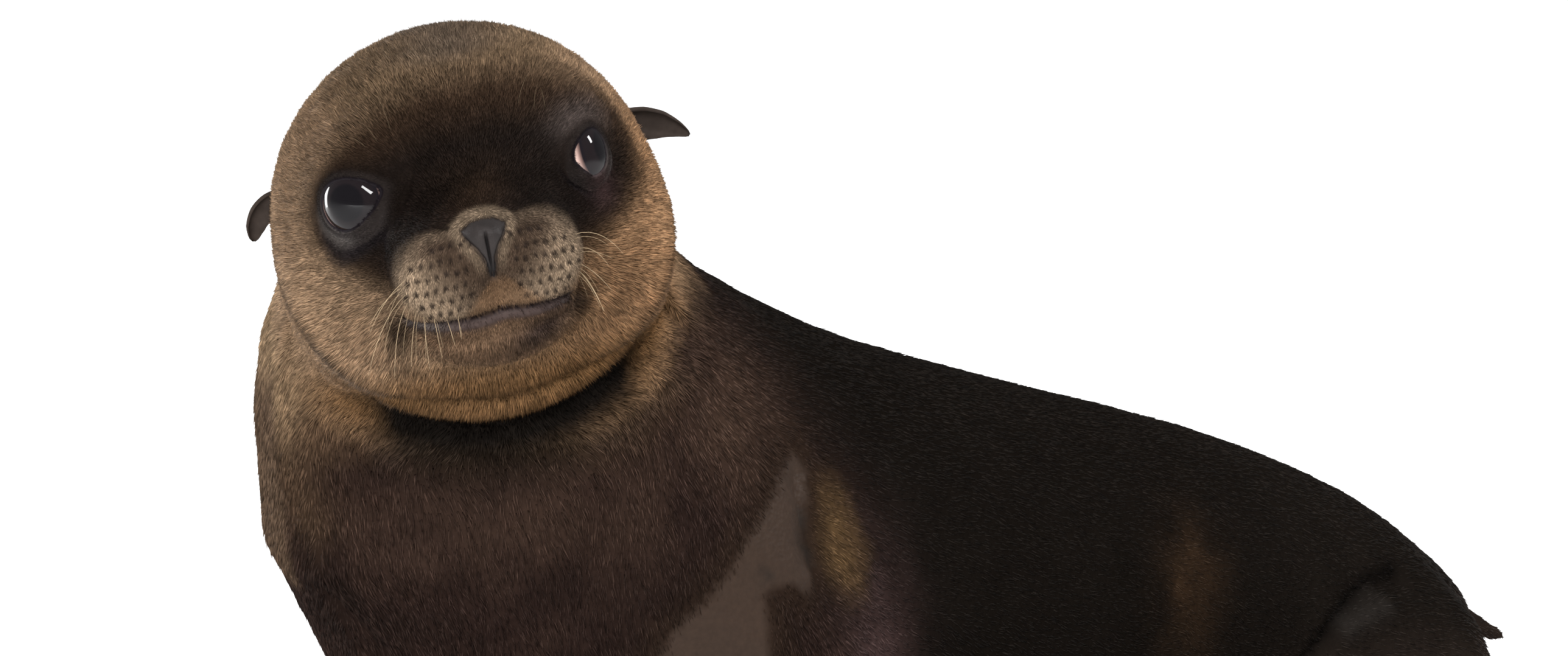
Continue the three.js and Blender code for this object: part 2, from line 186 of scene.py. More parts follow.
class CoatSizes(bpy.types.PropertyGroup):
    """Sizes of the tufts"""

    density: FloatProperty(
        name="Density", description="Share of the full number of tufts",
        subtype="FACTOR", default=1.0, min=0.05, max=1.0,
    )
    body_length: length("Body length", "Length of the body's tufts", 5.5, 20)
    body_width: length("Body width", "Width of the body's tufts", 0.6, 3)
    body_lift: angle("Body lift", "Lift of the body's tufts at the root", 6)
    head_length: length("Head length", "Length of the head's tufts", 5.2, 20)
    head_width: length("Head width", "Width of the head's tufts", 0.48, 3)
    head_lift: angle("Head lift", "Lift of the head's tufts at the root", 22)
    face_length: length("Face length", "Length of the face's tufts", 3.2, 20)
    face_width: length("Face width", "Width of the face's tufts", 0.38, 3)
    muzzle_length: length("Muzzle length", "Length of the muzzle's tufts", 2.2, 20)
    muzzle_width: length("Muzzle width", "Width of the muzzle's tufts", 0.32, 3)
    lid_length: length("Lid length", "Length of the lids' tufts", 1.5, 20)
    lid_width: length("Lid width", "Width of the lids' tufts", 0.24, 3)


class EyeLooks(bpy.types.PropertyGroup):
    """Gaze and colours of the eyes"""

    left_gaze: angle("Left gaze", "Turn of the left eye outwards from straight ahead", 64)
    right_gaze: angle("Right gaze", "Turn of the right eye outwards from straight ahead", 31)
    pupil: shade("Pupil", "Black of the pupil", 10, 8, 11)
    iris: shade("Iris", "Dark brown of the iris", 20, 15, 17)
    limbus: shade("Limbus", "Edge of the iris", 14, 11, 16)
    white_edge: shade("White, edge", "White of the eye next to the iris", 110, 88, 82)
    white: shade("White", "White of the eye", 190, 162, 152)


class HairLooks(bpy.types.PropertyGroup):
    """Sizes and colours of the whiskers"""

    thickness: FloatProperty(
        name="Thickness", description="Share of each hair's natural thickness",
        subtype="FACTOR", default=1.0, min=0.2, max=4.0, soft_max=2.0,
    )
    sides: IntProperty(name="Sides", description="Flat sides of each hair", default=5, min=3, max=12)
    pale: shade("Long whiskers", "Pale long whiskers", 178, 156, 126)
    dark: shade("Short whiskers", "Dark short whiskers", 40, 32, 28)


class TrimColours(bpy.types.PropertyGroup):
    """Colours of the nose, the ears and the claws"""

    nose: shade("Nose", "Bare nose pad", 40, 36, 35)
    # Painted shade in the nose's middle groove and its nostril slits
    nose_groove_shade: shade("Nose groove", "Depth of the nose's groove", 12, 10, 10)
    ears: shade("Ears", "Short fur of the ears", 50, 43, 39)
    claw_pale: shade("Claw, pale", "Pale clouds in the claws", 92, 80, 68)
    claw_dark: shade("Claw, dark", "Dark clouds in the claws", 48, 41, 36)


class BodyColours(bpy.types.PropertyGroup):
    """Colours of the body's fur"""

    back: shade("Back", "Fur of the back and the flanks", 24, 20, 17)
    chest: shade("Chest", "Dark brown fur of the chest", 45, 33, 29)
    chest_light: shade("Chest, lighter", "Lighter patches on the chest", 68, 52, 43)
    belly: shade("Belly", "Purplish fur behind the fore limbs", 80, 62, 60)
    underside: shade("Underside", "Fur turned to the floor", 50, 41, 36)
    flank: shade("Brown flank", "Brown patch ahead of the hind limb", 60, 44, 31)
    # Painted highlight on the swell above the hind limb's fold
    fold: shade("Fold", "Swell above the fold of the hind limb", 58, 54, 51)
    # Painted shade in the fold of the hind limb
    hind_crease_shade: shade("Fold, depth", "Depth of the fold of the hind limb", 12, 10, 9)
    armpit: shade("Armpit", "Tan patch behind the fore limb", 92, 71, 48)
    # Pale strip along the breast's right edge, partly painted rim light
    breast_rim_light: shade("Breast edge", "Pale strip down the right of the breast", 88, 71, 57)
    neck: shade("Neck", "Golden fur of the neck", 132, 110, 86)
    # Browner neck fur, also used as painted shade on the neck's left side
    neck_brown_and_shade: shade("Neck, side", "Browner fur of the neck's left side", 88, 69, 52)
    nape: shade("Nape", "Golden fur behind the head", 146, 118, 90)


class HeadColours(bpy.types.PropertyGroup):
    """Colours of the head's fur"""

    cheek: shade("Cheek", "Golden fur of the cheeks", 148, 122, 97)
    warm_cheek: shade("Cheek, warm", "Redder fur of the left cheek", 147, 113, 82)
    crown: shade("Crown", "Fur on top of the head", 116, 96, 75)
    cap: shade("Cap", "Grey band along the top of the head", 95, 83, 73)
    # Painted shade in the crease between the jowl's rolls
    jowl: shade("Jowl", "Fur of the rolls under the chin", 117, 86, 54)
    crease_shade: shade("Jowl crease", "Line between the rolls", 52, 37, 24)
    brow: shade("Brow", "Brown edge of the dark mask", 60, 45, 34)
    mask: shade("Mask", "Dark mask from eye to eye", 27, 21, 18)
    # Grey of the sleek fur above the left eye, partly painted sheen
    brow_grey_sheen: shade("Brow, grey", "Grey fur above the left eye", 88, 78, 74)
    chin: shade("Chin", "Fur of the chin", 116, 92, 72)


class MuzzleColours(bpy.types.PropertyGroup):
    """Colours of the muzzle and the mouth"""

    muzzle: shade("Muzzle", "Pale fur of the muzzle's pads", 148, 128, 107)
    muzzle_top: shade("Muzzle, top", "Dark fur on top of the pads", 68, 54, 44)
    nose_ring: shade("Nose ring", "Light fur round the nose", 118, 102, 85)
    lip_fur: shade("Lip fur", "Red-brown fur between the pads", 112, 87, 65)
    spots: shade("Whisker spots", "Dark roots of the whiskers", 36, 29, 26)
    lips: shade("Lips", "Lower lip", 62, 51, 48)
    lip_shade: shade("Lips, dark", "Dark part of the lower lip", 56, 45, 42)


class SkinColours(bpy.types.PropertyGroup):
    """Colours of the lids and the bare skin"""

    lids: shade("Lids", "Short grey fur of the lids", 62, 57, 56)
    lid_corner: shade("Lid corner", "Red-brown lower lid of the left eye", 58, 43, 42)
    # Light streaks on the lids, also used for painted wet glints on their rims
    lid_streak_and_glint: shade("Lid streaks", "Light streaks on the lids", 104, 98, 94)
    # Dark rims of the lids, also painted as shade at the nose's edge, in the mouth's slit and the
    # lower lids' folds
    rims_and_crease_shade: shade("Lid rims", "Edges of the lids, the mouth and the nose", 22, 18, 21)
    bare: shade("Bare limb", "Bare skin at the front of the fore limbs", 45, 34, 27)
    flippers: shade("Flippers", "Bare skin of the flippers", 46, 40, 37)


class StageLooks(bpy.types.PropertyGroup):
    """Floor, lights and camera"""

    floor_size: FloatProperty(
        name="Floor", description="Side of the square floor",
        subtype="DISTANCE", unit="LENGTH", default=40.0, min=2.0, max=200.0,
    )
    floor_colour: FloatVectorProperty(
        name="Floor colour", description="Pale colour of the floor",
        subtype="COLOR", size=3, min=0.0, max=1.0, default=(0.8, 0.8, 0.8),
    )
    brightness: FloatProperty(
        name="Brightness", description="Share of the lamps' full power",
        subtype="FACTOR", default=1.0, min=0.0, max=4.0, soft_max=2.0,
    )
    lens: FloatProperty(
        name="Lens", description="Focal length of the camera", unit="CAMERA",
        default=130.0, min=20.0, max=400.0,
    )


# Each group of properties, and the name it has on the scene.
SETTINGS = {
    "sealion_skin": SkinSizes,
    "sealion_coat": CoatSizes,
    "sealion_eyes": EyeLooks,
    "sealion_hair": HairLooks,
    "sealion_trim": TrimColours,
    "sealion_body_fur": BodyColours,
    "sealion_head_fur": HeadColours,
    "sealion_muzzle_fur": MuzzleColours,
    "sealion_bare_skin": SkinColours,
    "sealion_stage": StageLooks,
}
PALETTES = ("sealion_body_fur", "sealion_head_fur", "sealion_muzzle_fur", "sealion_bare_skin")


def palette_of(scene):
    """The colours of fur and skin by name."""
    return {
        name: np.array(getattr(getattr(scene, group), name))
        for group in PALETTES
        for name in SETTINGS[group].__annotations__
    }


# ---- measures ----


def in_head(points):
    """Points of the frame, in metres, as millimetres of the head's own frame."""
    return (points * 1000 - HEAD_AT) @ HEAD_AXES


def from_head(points):
    """Millimetres of the head's own frame as metres of the frame."""
    return (points @ HEAD_AXES.T + HEAD_AT) / 1000


def rise(value, low, high):
    """A smooth step from 0 at low to 1 at high."""
    t = np.clip((value - low) / (high - low), 0, 1)
    return t * t * (3 - 2 * t)


def fall(value, low, high):
    """A smooth step from 1 at low to 0 at high."""
    return 1 - rise(value, low, high)


def bump(value, width):
    """A bell of height 1 round zero."""
    return np.exp(-((value / width) ** 2))


def unit(vectors):
    """The same directions with a length of 1."""
    return vectors / np.maximum(np.linalg.norm(vectors, axis=-1, keepdims=True), 1e-9)


def reach(local, middle, size=1):
    """Distance from a middle, in millimetres or as a share of the half sizes of a region."""
    return np.linalg.norm((local - middle) / size, axis=1)


def patch(first, second, spot):
    """A soft round patch on a plane, 1 at its middle."""
    return bump(np.hypot((first - spot[0]) / spot[2], (second - spot[1]) / spot[3]), 1.0)


def read(mesh):
    """A mesh's points and point normals."""
    points = np.empty(len(mesh.vertices) * 3)
    mesh.vertices.foreach_get("co", points)
    normals = np.empty(len(mesh.vertices) * 3)
    mesh.vertex_normals.foreach_get("vector", normals)
    return points.reshape(-1, 3), normals.reshape(-1, 3)


def write(mesh, points):
    """Puts new points into a mesh."""
    mesh.vertices.foreach_set("co", points.ravel())
    mesh.update()


def edges_of(mesh):
    """A mesh's edges as pairs of point numbers."""
    pairs = np.empty(len(mesh.edges) * 2, np.int64)
    mesh.edges.foreach_get("vertices", pairs)
    return pairs.reshape(-1, 2)


def neighbours_mean(values, pairs, count):
    """The mean of each point's neighbours."""
    first, second = pairs.T
    total = np.stack(
        [
            np.bincount(first, values[second, k], len(values))
            + np.bincount(second, values[first, k], len(values))
            for k in range(values.shape[1])
        ],
        axis=1,
    )
    return total / count[:, None]


# Each round of smoothing draws a point to its neighbours' mean and then pushes it out again.
DRAW = 0.5
PUSH = 0.53


def relaxed(mesh, rounds, weight=1.0):
    """Smooths a mesh's points without shrinking it."""
    points = read(mesh)[0]
    pairs = edges_of(mesh)
    count = np.maximum(np.bincount(pairs.ravel(), minlength=len(points)), 1)
    weight = np.broadcast_to(np.asarray(weight, float), (len(points),))[:, None]
    for _ in range(rounds):
        points = points + DRAW * weight * (neighbours_mean(points, pairs, count) - points)
        points = points - PUSH * weight * (neighbours_mean(points, pairs, count) - points)
    write(mesh, points)


def object_of(name, mesh):
    """A new object in the scene."""
    piece = bpy.data.objects.new(name, mesh)
    bpy.context.scene.collection.objects.link(piece)
    return piece


def finished(piece, slot, *replaced):
    """Sets a piece on the body, in the place of nodes where it replaces some."""
    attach(piece, "root")
    if replaced:
        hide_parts(*replaced)


def mesh_from(form, name):
    """A mesh of a form, which is freed."""
    mesh = bpy.data.meshes.new(name)
    form.to_mesh(mesh)
    form.free()
    return mesh


def joined_flesh(grow):
    """The nodes of flesh in one mesh, each merged and grown so that the parting cuts close."""
    whole = bmesh.new()
    for name in FLESH + ("nose",):
        part = bmesh.new()
        part.from_mesh(NODES[name].data)
        bmesh.ops.remove_doubles(part, verts=part.verts, dist=1e-5)
        part.normal_update()
        for vertex in part.verts:
            vertex.co += vertex.normal * grow
        mesh = mesh_from(part, "part")
        whole.from_mesh(mesh)
        bpy.data.meshes.remove(mesh)
    for side in SIDES:
        place = Matrix.Translation(from_head(EYE_AT * (side, 1, 1)))
        bmesh.ops.create_uvsphere(
            whole, u_segments=32, v_segments=20, radius=SOCKET_RADIUS / 1000, matrix=place
        )
    return mesh_from(whole, "flesh")


def remeshed(mesh, voxel):
    """One closed surface round a mesh."""
    piece = object_of("flesh", mesh)
    modifier = piece.modifiers.new("one surface", "REMESH")
    modifier.mode = "VOXEL"
    modifier.voxel_size = voxel
    shell = bpy.data.meshes.new_from_object(
        piece.evaluated_get(bpy.context.evaluated_depsgraph_get())
    )
    bpy.data.objects.remove(piece)
    return shell


def subdivided(mesh, chosen):
    """Cuts the edges of the faces where chosen, a test of points in metres, is true."""
    points = read(mesh)[0]
    flags = chosen(points)
    form = bmesh.new()
    form.from_mesh(mesh)
    form.verts.ensure_lookup_table()
    cut = [
        edge
        for edge in form.edges
        if flags[edge.verts[0].index] and flags[edge.verts[1].index]
    ]
    bmesh.ops.subdivide_edges(form, edges=cut, cuts=1, use_grid_fill=True)
    form.to_mesh(mesh)
    form.free()


# How many random values the swells are drawn from, and what spreads the cells among them.
SWELLS = 4096
SPREAD = (73856093, 19349663, 83492791)


def mottle(points, size, seed):
    """Smooth random values from -1 to 1, about one swell to each size."""
    table = np.random.default_rng(seed).uniform(-1, 1, SWELLS)
    cell = points / size
    low = np.floor(cell).astype(np.int64)
    part = cell - low
    part = part * part * (3 - 2 * part)
    total = np.zeros(len(points))
    for corner in np.ndindex(2, 2, 2):
        at = low + corner
        key = np.bitwise_xor.reduce(at * SPREAD, axis=1)
        total += np.prod(np.where(corner, part, 1 - part), axis=1) * table[key % SWELLS]
    return total


# ---- where things are on the animal ----


def eye_frame(side, outward):
    """An eye's centre, an axis turned outward from the face, and the direction to the nose."""
    centre = EYE_AT * (side, 1, 1)
    axis = np.array((side * math.sin(outward), -math.cos(outward), 0))
    inward = np.array((-side * math.cos(outward), -math.sin(outward), 0))
    return centre, axis, inward


def eye_angles(local, side):
    """Distance from an eye's centre, degrees outside the edge of its opening, and the turn."""
    centre, axis, inward = eye_frame(side, LID_OUTWARD)
    offset = local - centre
    distance = np.linalg.norm(offset, axis=1)
    off_axis = np.degrees(np.arccos(np.clip(offset @ axis / np.maximum(distance, 1e-9), -1, 1)))
    turn = np.arctan2(offset[:, 2], offset @ inward)
    turns, reaches = zip(*LID_REACH[side])
    around = np.degrees(turn)
    edge = sum(np.interp(around + step, turns, reaches, period=360) for step in (-7, -2, 2, 7)) / 4
    return distance, off_axis - edge, turn


def near_lids(local, degrees, distance):
    """True within some degrees of the edges of the lids and at most so far from the eyes."""
    chosen = np.zeros(len(local), bool)
    for side in SIDES:
        away, past, _ = eye_angles(local, side)
        chosen |= (np.abs(past) < degrees) & (away < distance)
    return chosen


def head_region(points):
    """True on the head."""
    return reach(in_head(points), (0, 0, -20)) < 86


def face_region(points):
    """True on the front of the face."""
    local = in_head(points)
    return (reach(local, FACE_MIDDLE, FACE_SIZE) < 1) & (local[:, 1] < -30)


def fine_region(points):
    """True round the eyes and along the lips."""
    local = in_head(points)
    lips = (np.abs(local[:, 2] - MOUTH_HEIGHT) < 4.5) & (local[:, 1] < -62)
    return near_lids(local, 12, 26) | lips


def lid_edges(points):
    """True along the edges of the lids."""
    return near_lids(in_head(points), 5.5, 24)


def head_share(local):
    """1 on the head and its jowl, 0 on the body."""
    return fall(reach(local, HEAD_MIDDLE), 78, 94)


def flipper_share(points):
    """1 on the bare ends of the four flippers, 0 elsewhere."""
    side = np.abs(points[:, 0])
    fore = rise(side, 0.118, 0.150) * fall(points[:, 1], -0.04, 0.0)
    hind = rise(side, 0.058, 0.085) * rise(points[:, 1], 0.03, 0.06)
    low = fall(points[:, 2], 0.022, 0.05)
    return np.maximum(fore, hind) * low


def coat_depth(points, local, body_depth):
    """How far the skin lies inside the solids, in millimetres."""
    depth = np.full(len(points), body_depth * 1000)
    for share, own_depth in (
        (fall(reach(local, MUZZLE_MIDDLE, MUZZLE_SIZE), 0.8, 1.4), 0.9),
        (fall(points[:, 2], 0.015, 0.08), 0.8),
        (flipper_share(points), 0.2),
    ):
        depth = depth + (own_depth - depth) * share
    return depth


# ---- the skin's forms ----


def lidded(local):
    """Moves points of the face in and out from each eye's centre to make its lids."""
    for side in SIDES:
        distance, past, turn = eye_angles(local, side)
        centre = EYE_AT * (side, 1, 1)
        direction = (local - centre) / distance[:, None]
        lower = rise(-np.sin(turn), -0.2, 0.8)
        fold = past - LID_FOLD
        rim = EYE_RADIUS - 0.8 + 1.5 * rise(past, -3, 3) + 0.5 * rise(past, 2, 9)
        rim = rim + lower * (0.3 * bump(past - 10, 6) - 1.1 * bump(fold, 1.8))
        hold = fall(past, 3 + 6 * lower, 20 + 14 * lower)
        target = distance + (rim - distance) * hold - 0.5 * lower * bump(fold, 2) * (1 - hold)
        target = np.where(past < -3, EYE_RADIUS - 0.8 - 2 * rise(-past, 3, 9), target)
        near = (past < 45) & (distance < 38) & (direction @ (side * 0.5, -0.8, 0) > 0)
        local = np.where(near[:, None], centre + direction * target[:, None], local)
    return local


def from_mouth(x):
    """How far to either side of the mouth's middle: its right corner reaches out further."""
    return np.abs(x + 3)


def mouth_line(x):
    """The height of the closed mouth: it turns up at its corners and under the nose."""
    return MOUTH_HEIGHT + 1.6 * (np.abs(x) / 30) ** 2.2 + 1.2 * bump(x - 2, 6)


def jowl_rolls(x, z):
    """Distance from the jowl's middle, the turn from straight down, and the inner roll's edge."""
    turn = np.arctan2(np.abs(x), -(z - JOWL_HEIGHT))
    return np.hypot(x, z - JOWL_HEIGHT), turn, JOWL_RADIUS + 8 * rise(turn, 0.25, 0.95)


def folds(local):
    """Outward lift of the face's forms, in millimetres, and the push back of what lies under it."""
    x, y, z = local.T
    front = fall(y, -68, -60) * fall(from_mouth(x), 28.5, 32)
    # Lips: the upper pads overhang a closed mouth.
    over = z - mouth_line(x)
    lift = front * (1.2 * bump(over - 3.2, 2.6) - 3.8 * bump(over, 0.8))
    lift += front * (0.7 * bump(over + 3.2, 2.0) - 0.8 * bump(over + 8.5, 2.2))
    corner = np.stack([from_mouth(x) - 30, y + 70, z - MOUTH_HEIGHT], 1)
    lift -= 3.0 * bump(np.linalg.norm(corner, axis=1), 4.5)
    # Groove under the nose, and the puffed pads beside it.
    lift -= 1.6 * front * bump(x, 1.5) * rise(z, -38, -34) * fall(z, -26, -22)
    pads = np.hypot((np.abs(x) - 16.5) / 14, (z + 23) / 14.5)
    lift += 1.4 * front * fall(pads, 0.5, 1.1)
    # Chin, and two rolls of the jowl below it.
    chin = np.hypot(x / 35, (z + 38) / 24)
    chin_line = bump((chin - 1) * 26, 3.2) * fall(z, -44, -36)
    lift -= 1.6 * chin_line * fall(y, -52, -40)
    ring, turn, inner = jowl_rolls(x, z)
    lower = fall(turn, 1.2, 2.0) * rise(y, -66, -56)
    gate = lower * fall(y, -14, -4)
    lift += gate * 1.8 * bump(ring - inner + 5.5, 3.5)
    lift -= gate * 2.6 * bump(ring - inner, 1.5) * fall(turn, 0.75, 1.05)
    lift += gate * 0.9 * bump(ring - JOWL_RADIUS - 4, 2.8)
    under = lower * fall(y, 4, 14) * (1 - 0.7 * rise(turn, 0.55, 1.3))
    push = under * 13 * rise(ring, 68.5, 72.5) * fall(ring, 78, 104)
    return lift, push


def path_distance(first, second, path):
    """Distance from places on a plane to an open path of straight steps."""
    nearest = np.full(np.shape(first), 1e9)
    for (a0, b0), (a1, b1) in zip(path[:-1], path[1:]):
        long, high = a1 - a0, b1 - b0
        share = np.clip(((first - a0) * long + (second - b0) * high) / (long**2 + high**2), 0, 1)
        gap = np.hypot(first - a0 - share * long, second - b0 - share * high)
        nearest = np.minimum(nearest, gap)
    return nearest


def outline_distance(first, second, outline):
    """Distance inside a closed outline on a plane, less than zero outside it."""
    inside = np.zeros(np.shape(first), bool)
    closed = tuple(outline) + (outline[0],)
    for (a0, b0), (a1, b1) in zip(closed[:-1], closed[1:]):
        crossed = (b0 > second) != (b1 > second)
        at = a0 + (second - b0) * (a1 - a0) / ((b1 - b0) or 1e-9)
        inside ^= crossed & (first < at)
    nearest = path_distance(first, second, closed)
    return np.where(inside, nearest, -nearest)


def body_creases(points):
    """How deep the creases of the body are at each point, in millimetres."""
    side, long, up = points.T * 1000
    hind = bump(path_distance(long, up, HIND_CREASE), 4.5) * rise(np.abs(side), 25, 45)
    arm = bump(path_distance(long, up, ARM_CREASE), 3.0) * rise(np.abs(side), 60, 80)
    throat = bump(path_distance(side, up, THROAT_CREASE), 4.0) * fall(long, -285, -270)
    bulge = bump(path_distance(long, up, HIND_SWELL), 8.0) * rise(np.abs(side), 25, 45)
    return 4.6 * hind + 2.5 * arm + 2.0 * throat - 2.4 * bulge


def sculpt(mesh, sizes):
    """Takes the skin in by the coat's depth and forms the face on it."""
    points, normals = read(mesh)
    local = in_head(points)
    turned = normals @ HEAD_AXES
    inset = coat_depth(points, local, sizes.depth) + body_creases(points)
    local = local - turned * inset[:, None]
    close = reach(local, (0, -20, -30)) < 120
    lift, push = folds(local[close])
    local[close] += turned[close] * lift[:, None]
    local[close, 1] += push
    write(mesh, from_head(local))
    settled = close & (np.abs(in_head(read(mesh)[0])[:, 2] - MOUTH_HEIGHT) > 6)
    relaxed(mesh, 2, settled.astype(float))
    local = in_head(read(mesh)[0])
    local[close] = lidded(local[close])
    points = from_head(local)
    points[:, 2] = np.maximum(points[:, 2], 0)
    write(mesh, points)


def skin_mesh(sizes):
    """The one skin, in the shape of the solids less the coat's depth."""
    mesh = remeshed(joined_flesh(sizes.grow), sizes.grain)
    relaxed(mesh, 16, 1 - 0.6 * flipper_share(read(mesh)[0]))
    subdivided(mesh, head_region)
    relaxed(mesh, 24, fall(reach(in_head(read(mesh)[0]), (0, -20, -10)), 85, 100))
    subdivided(mesh, face_region)
    relaxed(mesh, 6)
    subdivided(mesh, fine_region)
    subdivided(mesh, lid_edges)
    relaxed(mesh, 2)
    sculpt(mesh, sizes)
    mesh.shade_smooth()
    return mesh


# ---- markings ----


def bareness(points, local):
    """1 where the skin shows, 0 under the coat."""
    x, y, z = local.T
    bare = np.maximum(flipper_share(points), limb_patch(points))
    for side in SIDES:
        distance, past, turn = eye_angles(local, side)
        lower = rise(-np.sin(turn), -0.1, 0.7)
        near = (distance < 28) & (past < 40)
        bare = np.maximum(bare, near * fall(past, 1.5, 3 + lower))
    nose = outline_distance(x, z, NOSE_OUTLINE)
    bare = np.maximum(bare, (y < -88) * rise(nose, -0.2, 0.8))
    over = z - mouth_line(x)
    lips = rise(over, -4.2, -2.6) * fall(over, 0.2, 0.9) * (y < -62)
    return np.maximum(bare, 0.8 * lips * fall(from_mouth(x), 27, 30))


def limb_patch(points):
    """1 on the bare skin at the front of each fore limb."""
    side, long, up = points.T * 1000
    inside = outline_distance(long, up, BARE_OUTLINE) + 1.5 * mottle(points, 0.009, 42)
    soft = 1.5 + 6 * fall(up, 110, 170)
    return rise(inside / soft, -1, 1) * rise(np.abs(side), 62, 78) * rise(up, 66, 112)


# Rows of whiskers on the muzzle: height at the nose, and how many. Each row starts so far out
# from the middle, every second one a little further, and goes on in equal steps.
WHISKER_ROWS = ((-12, 4), (-16.5, 6), (-21, 7), (-25.5, 7), (-30, 6), (-34, 5))
ROW_START, ROW_STAGGER, ROW_STEP = 8.5, 1.2, 3.3


def whisker_spots():
    """Roots of the whiskers on one side of the muzzle, as x and z in the head's frame."""
    spots = []
    for row, (height, count) in enumerate(WHISKER_ROWS):
        for step in range(count):
            x = ROW_START + ROW_STAGGER * (row % 2) + ROW_STEP * step
            spots.append((x, height - 0.035 * (x - 8) ** 1.3 + 0.25 * math.sin(5 * x + row)))
    return np.array(spots)


def neck_edge(side, long):
    """The height at which the golden neck ends above the dark body."""
    return 251 + 0.72 * np.maximum(long + 236, 0) - 0.3 * np.maximum(15 - side, 0)


class Place:
    """Where points are in the frame and on the head, and how the fur's colour drifts there."""

    def __init__(self, points):
        self.points = points
        self.body = points.T * 1000
        self.local = in_head(points)
        self.head = self.local.T
        self.drift = mottle(points, 0.035, 3)
        self.fine = mottle(points, 0.012, 5)


# Each function of marks gives names of colours with their shares, from the lowest layer up. The
# word lighter stands for no colour: its share lightens what is there.


def body_marks(at):
    """Marks of the body, with painted shade in the hind limb's fold and a painted highlight above
    it.
    """
    (side, long, up), drift, fine = at.body, at.drift, at.fine
    chest = fall(long + 0.35 * (up - 180) + 14 * drift, -178, -92)
    yield "chest", chest
    patches = mottle(at.points, 0.022, 31) + 0.6 * mottle(at.points, 0.009, 32)
    light = patch(side, up, BREAST_LIGHT) * (long < -225)
    shoulder = patch(long, up, SHOULDER) * (np.abs(side) > 50)
    yield "chest_light", chest * np.clip(0.5 * light + 0.95 * shoulder + 0.22 * patches, 0, 1)
    dark = np.maximum(*(patch(side, up, spot) for spot in BREAST_DARK))
    yield "back", np.clip(0.3 * dark - 0.2 * patches, 0, 0.9) * chest
    yield "belly", np.clip(0.85 * patch(long, up, BELLY) * (0.8 + 0.3 * fine), 0, 1)
    yield "underside", 0.8 * fall(up + 8 * drift, 60, 105)
    yield "flank", np.clip(0.95 * patch(long, up, BROWN_FLANK) * (0.8 + 0.5 * fine), 0, 1)
    beside = np.abs(side) > 30
    # Painted shade along the fold of the hind limb
    yield "hind_crease_shade", 0.85 * bump(path_distance(long, up, HIND_CREASE), 3.0) * beside
    # Painted highlight on the swell above the fold
    swell = bump(path_distance(long, up, HIND_SWELL), 4.5) * beside
    yield "fold", 0.42 * swell * (0.8 + 0.4 * fine)
    behind, above, size, height = ARMPIT
    tan = np.hypot((long - behind) / size, (up - above + 0.3 * (long - behind)) / height)
    outer = rise(np.abs(side), 62, 78)
    tan = fall(tan + 0.16 * fine, 0.15, 1.1) * outer
    yield "armpit", np.clip(tan * (0.9 + 0.3 * mottle(at.points, 0.004, 33)), 0, 1)
    near_bare = rise(outline_distance(long, up, BARE_OUTLINE) + 3 * fine, -15, 1)
    yield "bare", 0.8 * near_bare * outer
    yield "lighter", 0.3 * rise(long, 60, 170)


def neck_marks(at):
    """Marks of the neck and the top of the breast, with partly painted shade and rim light."""
    (side, long, up), drift, fine = at.body, at.drift, at.fine
    neck = rise(up - neck_edge(side, long) + 7 * drift + 5 * fine, -17, 21)
    # The neck's left side keeps the browner colour, partly as painted shade
    yield "neck_brown_and_shade", neck
    yield "neck", neck * fall(side + 10 * drift + 0.35 * (270 - up), -24, 22)
    left = bump(side + 12 + 6 * drift, 20) * rise(up + 6 * fine, 190, 226) * (long < -230)
    yield "neck_brown_and_shade", 0.55 * left * (1 - neck)
    # Pale strip on the breast's right edge, partly painted rim light
    strip = fall(side + 2 * fine, -26, -17) * fall(long, -265, -250)
    yield "breast_rim_light", strip * rise(up, 182, 190) * fall(up, 250, 275)
    yield "nape", rise(up + 4 * fine, 274, 294) * rise(long, -225, -190) * neck


def head_marks(at):
    """Marks of the cheeks, the crown and the jowl's rolls, with painted shade and a painted
    highlight.
    """
    (side, long, up), (x, y, z), drift = at.body, at.head, at.drift
    head = head_share(at.local) * rise(up - neck_edge(side, long), -12, 4)
    yield "cheek", head
    yield "warm_cheek", 0.8 * rise(x, -10, 30) * fall(z, 0, 30) * head
    yield "crown", rise(z + 3 * drift, 20, 42) * (1 - 0.75 * rise(np.abs(x), 30, 52)) * head
    yield "cap", 0.7 * bump(x - 4, 20) * rise(z, 41, 47) * head
    yield "jowl", 0.85 * fall(z + 3 * drift, -70, -54) * head
    ring, turn, inner = jowl_rolls(x, z)
    below = (y > -62) & (y < -8)
    # Painted shade in the crease between the two rolls
    yield "crease_shade", 0.75 * below * bump(ring - inner, 1.1) * fall(turn, 1.2, 1.7)
    # Painted highlight along the inner roll's edge, and painted shade darkening the head's right
    # side
    roll_highlight = below * bump(ring - inner + 4, 2.6) * fall(turn, 1.2, 1.8)
    yield "lighter", 0.1 * roll_highlight - 0.05 * head * rise(-x, 42, 58)
    # Painted shadow on the neck beneath the jowl's rolls, in the colour of the back
    gap = rise(ring, 69, 73) * (z < -40) * fall(np.abs(x), 40, 56) * (y > -48)
    yield "back", gap * fall(ring, 80, 104)


def mask_marks(at):
    """Marks of the dark mask round the eyes."""
    (x, y, z), fine = at.head, at.fine
    mask = outline_distance(x, z, MASK_OUTLINE) + 1.2 * at.drift + 0.8 * fine
    ahead = fall(y, -34, -22)
    yield "brow", rise(mask, -9 - 4 * rise(z, 15, 28), 4) * ahead
    yield "mask", rise(mask, -4, 12 + 7 * rise(z, 0, 20)) * ahead
    yield "brow", 0.4 * patch(x, z, BRIDGE) * (y < -60) * (0.8 + 0.5 * fine)
    yield "mask", 0.8 * np.clip(1.3 * patch(np.abs(x), z, BESIDE_EYE) * ahead, 0, 1)
    yield "mask", 0.45 * patch(np.abs(x), z, UNDER_EYE) * (y < -50)


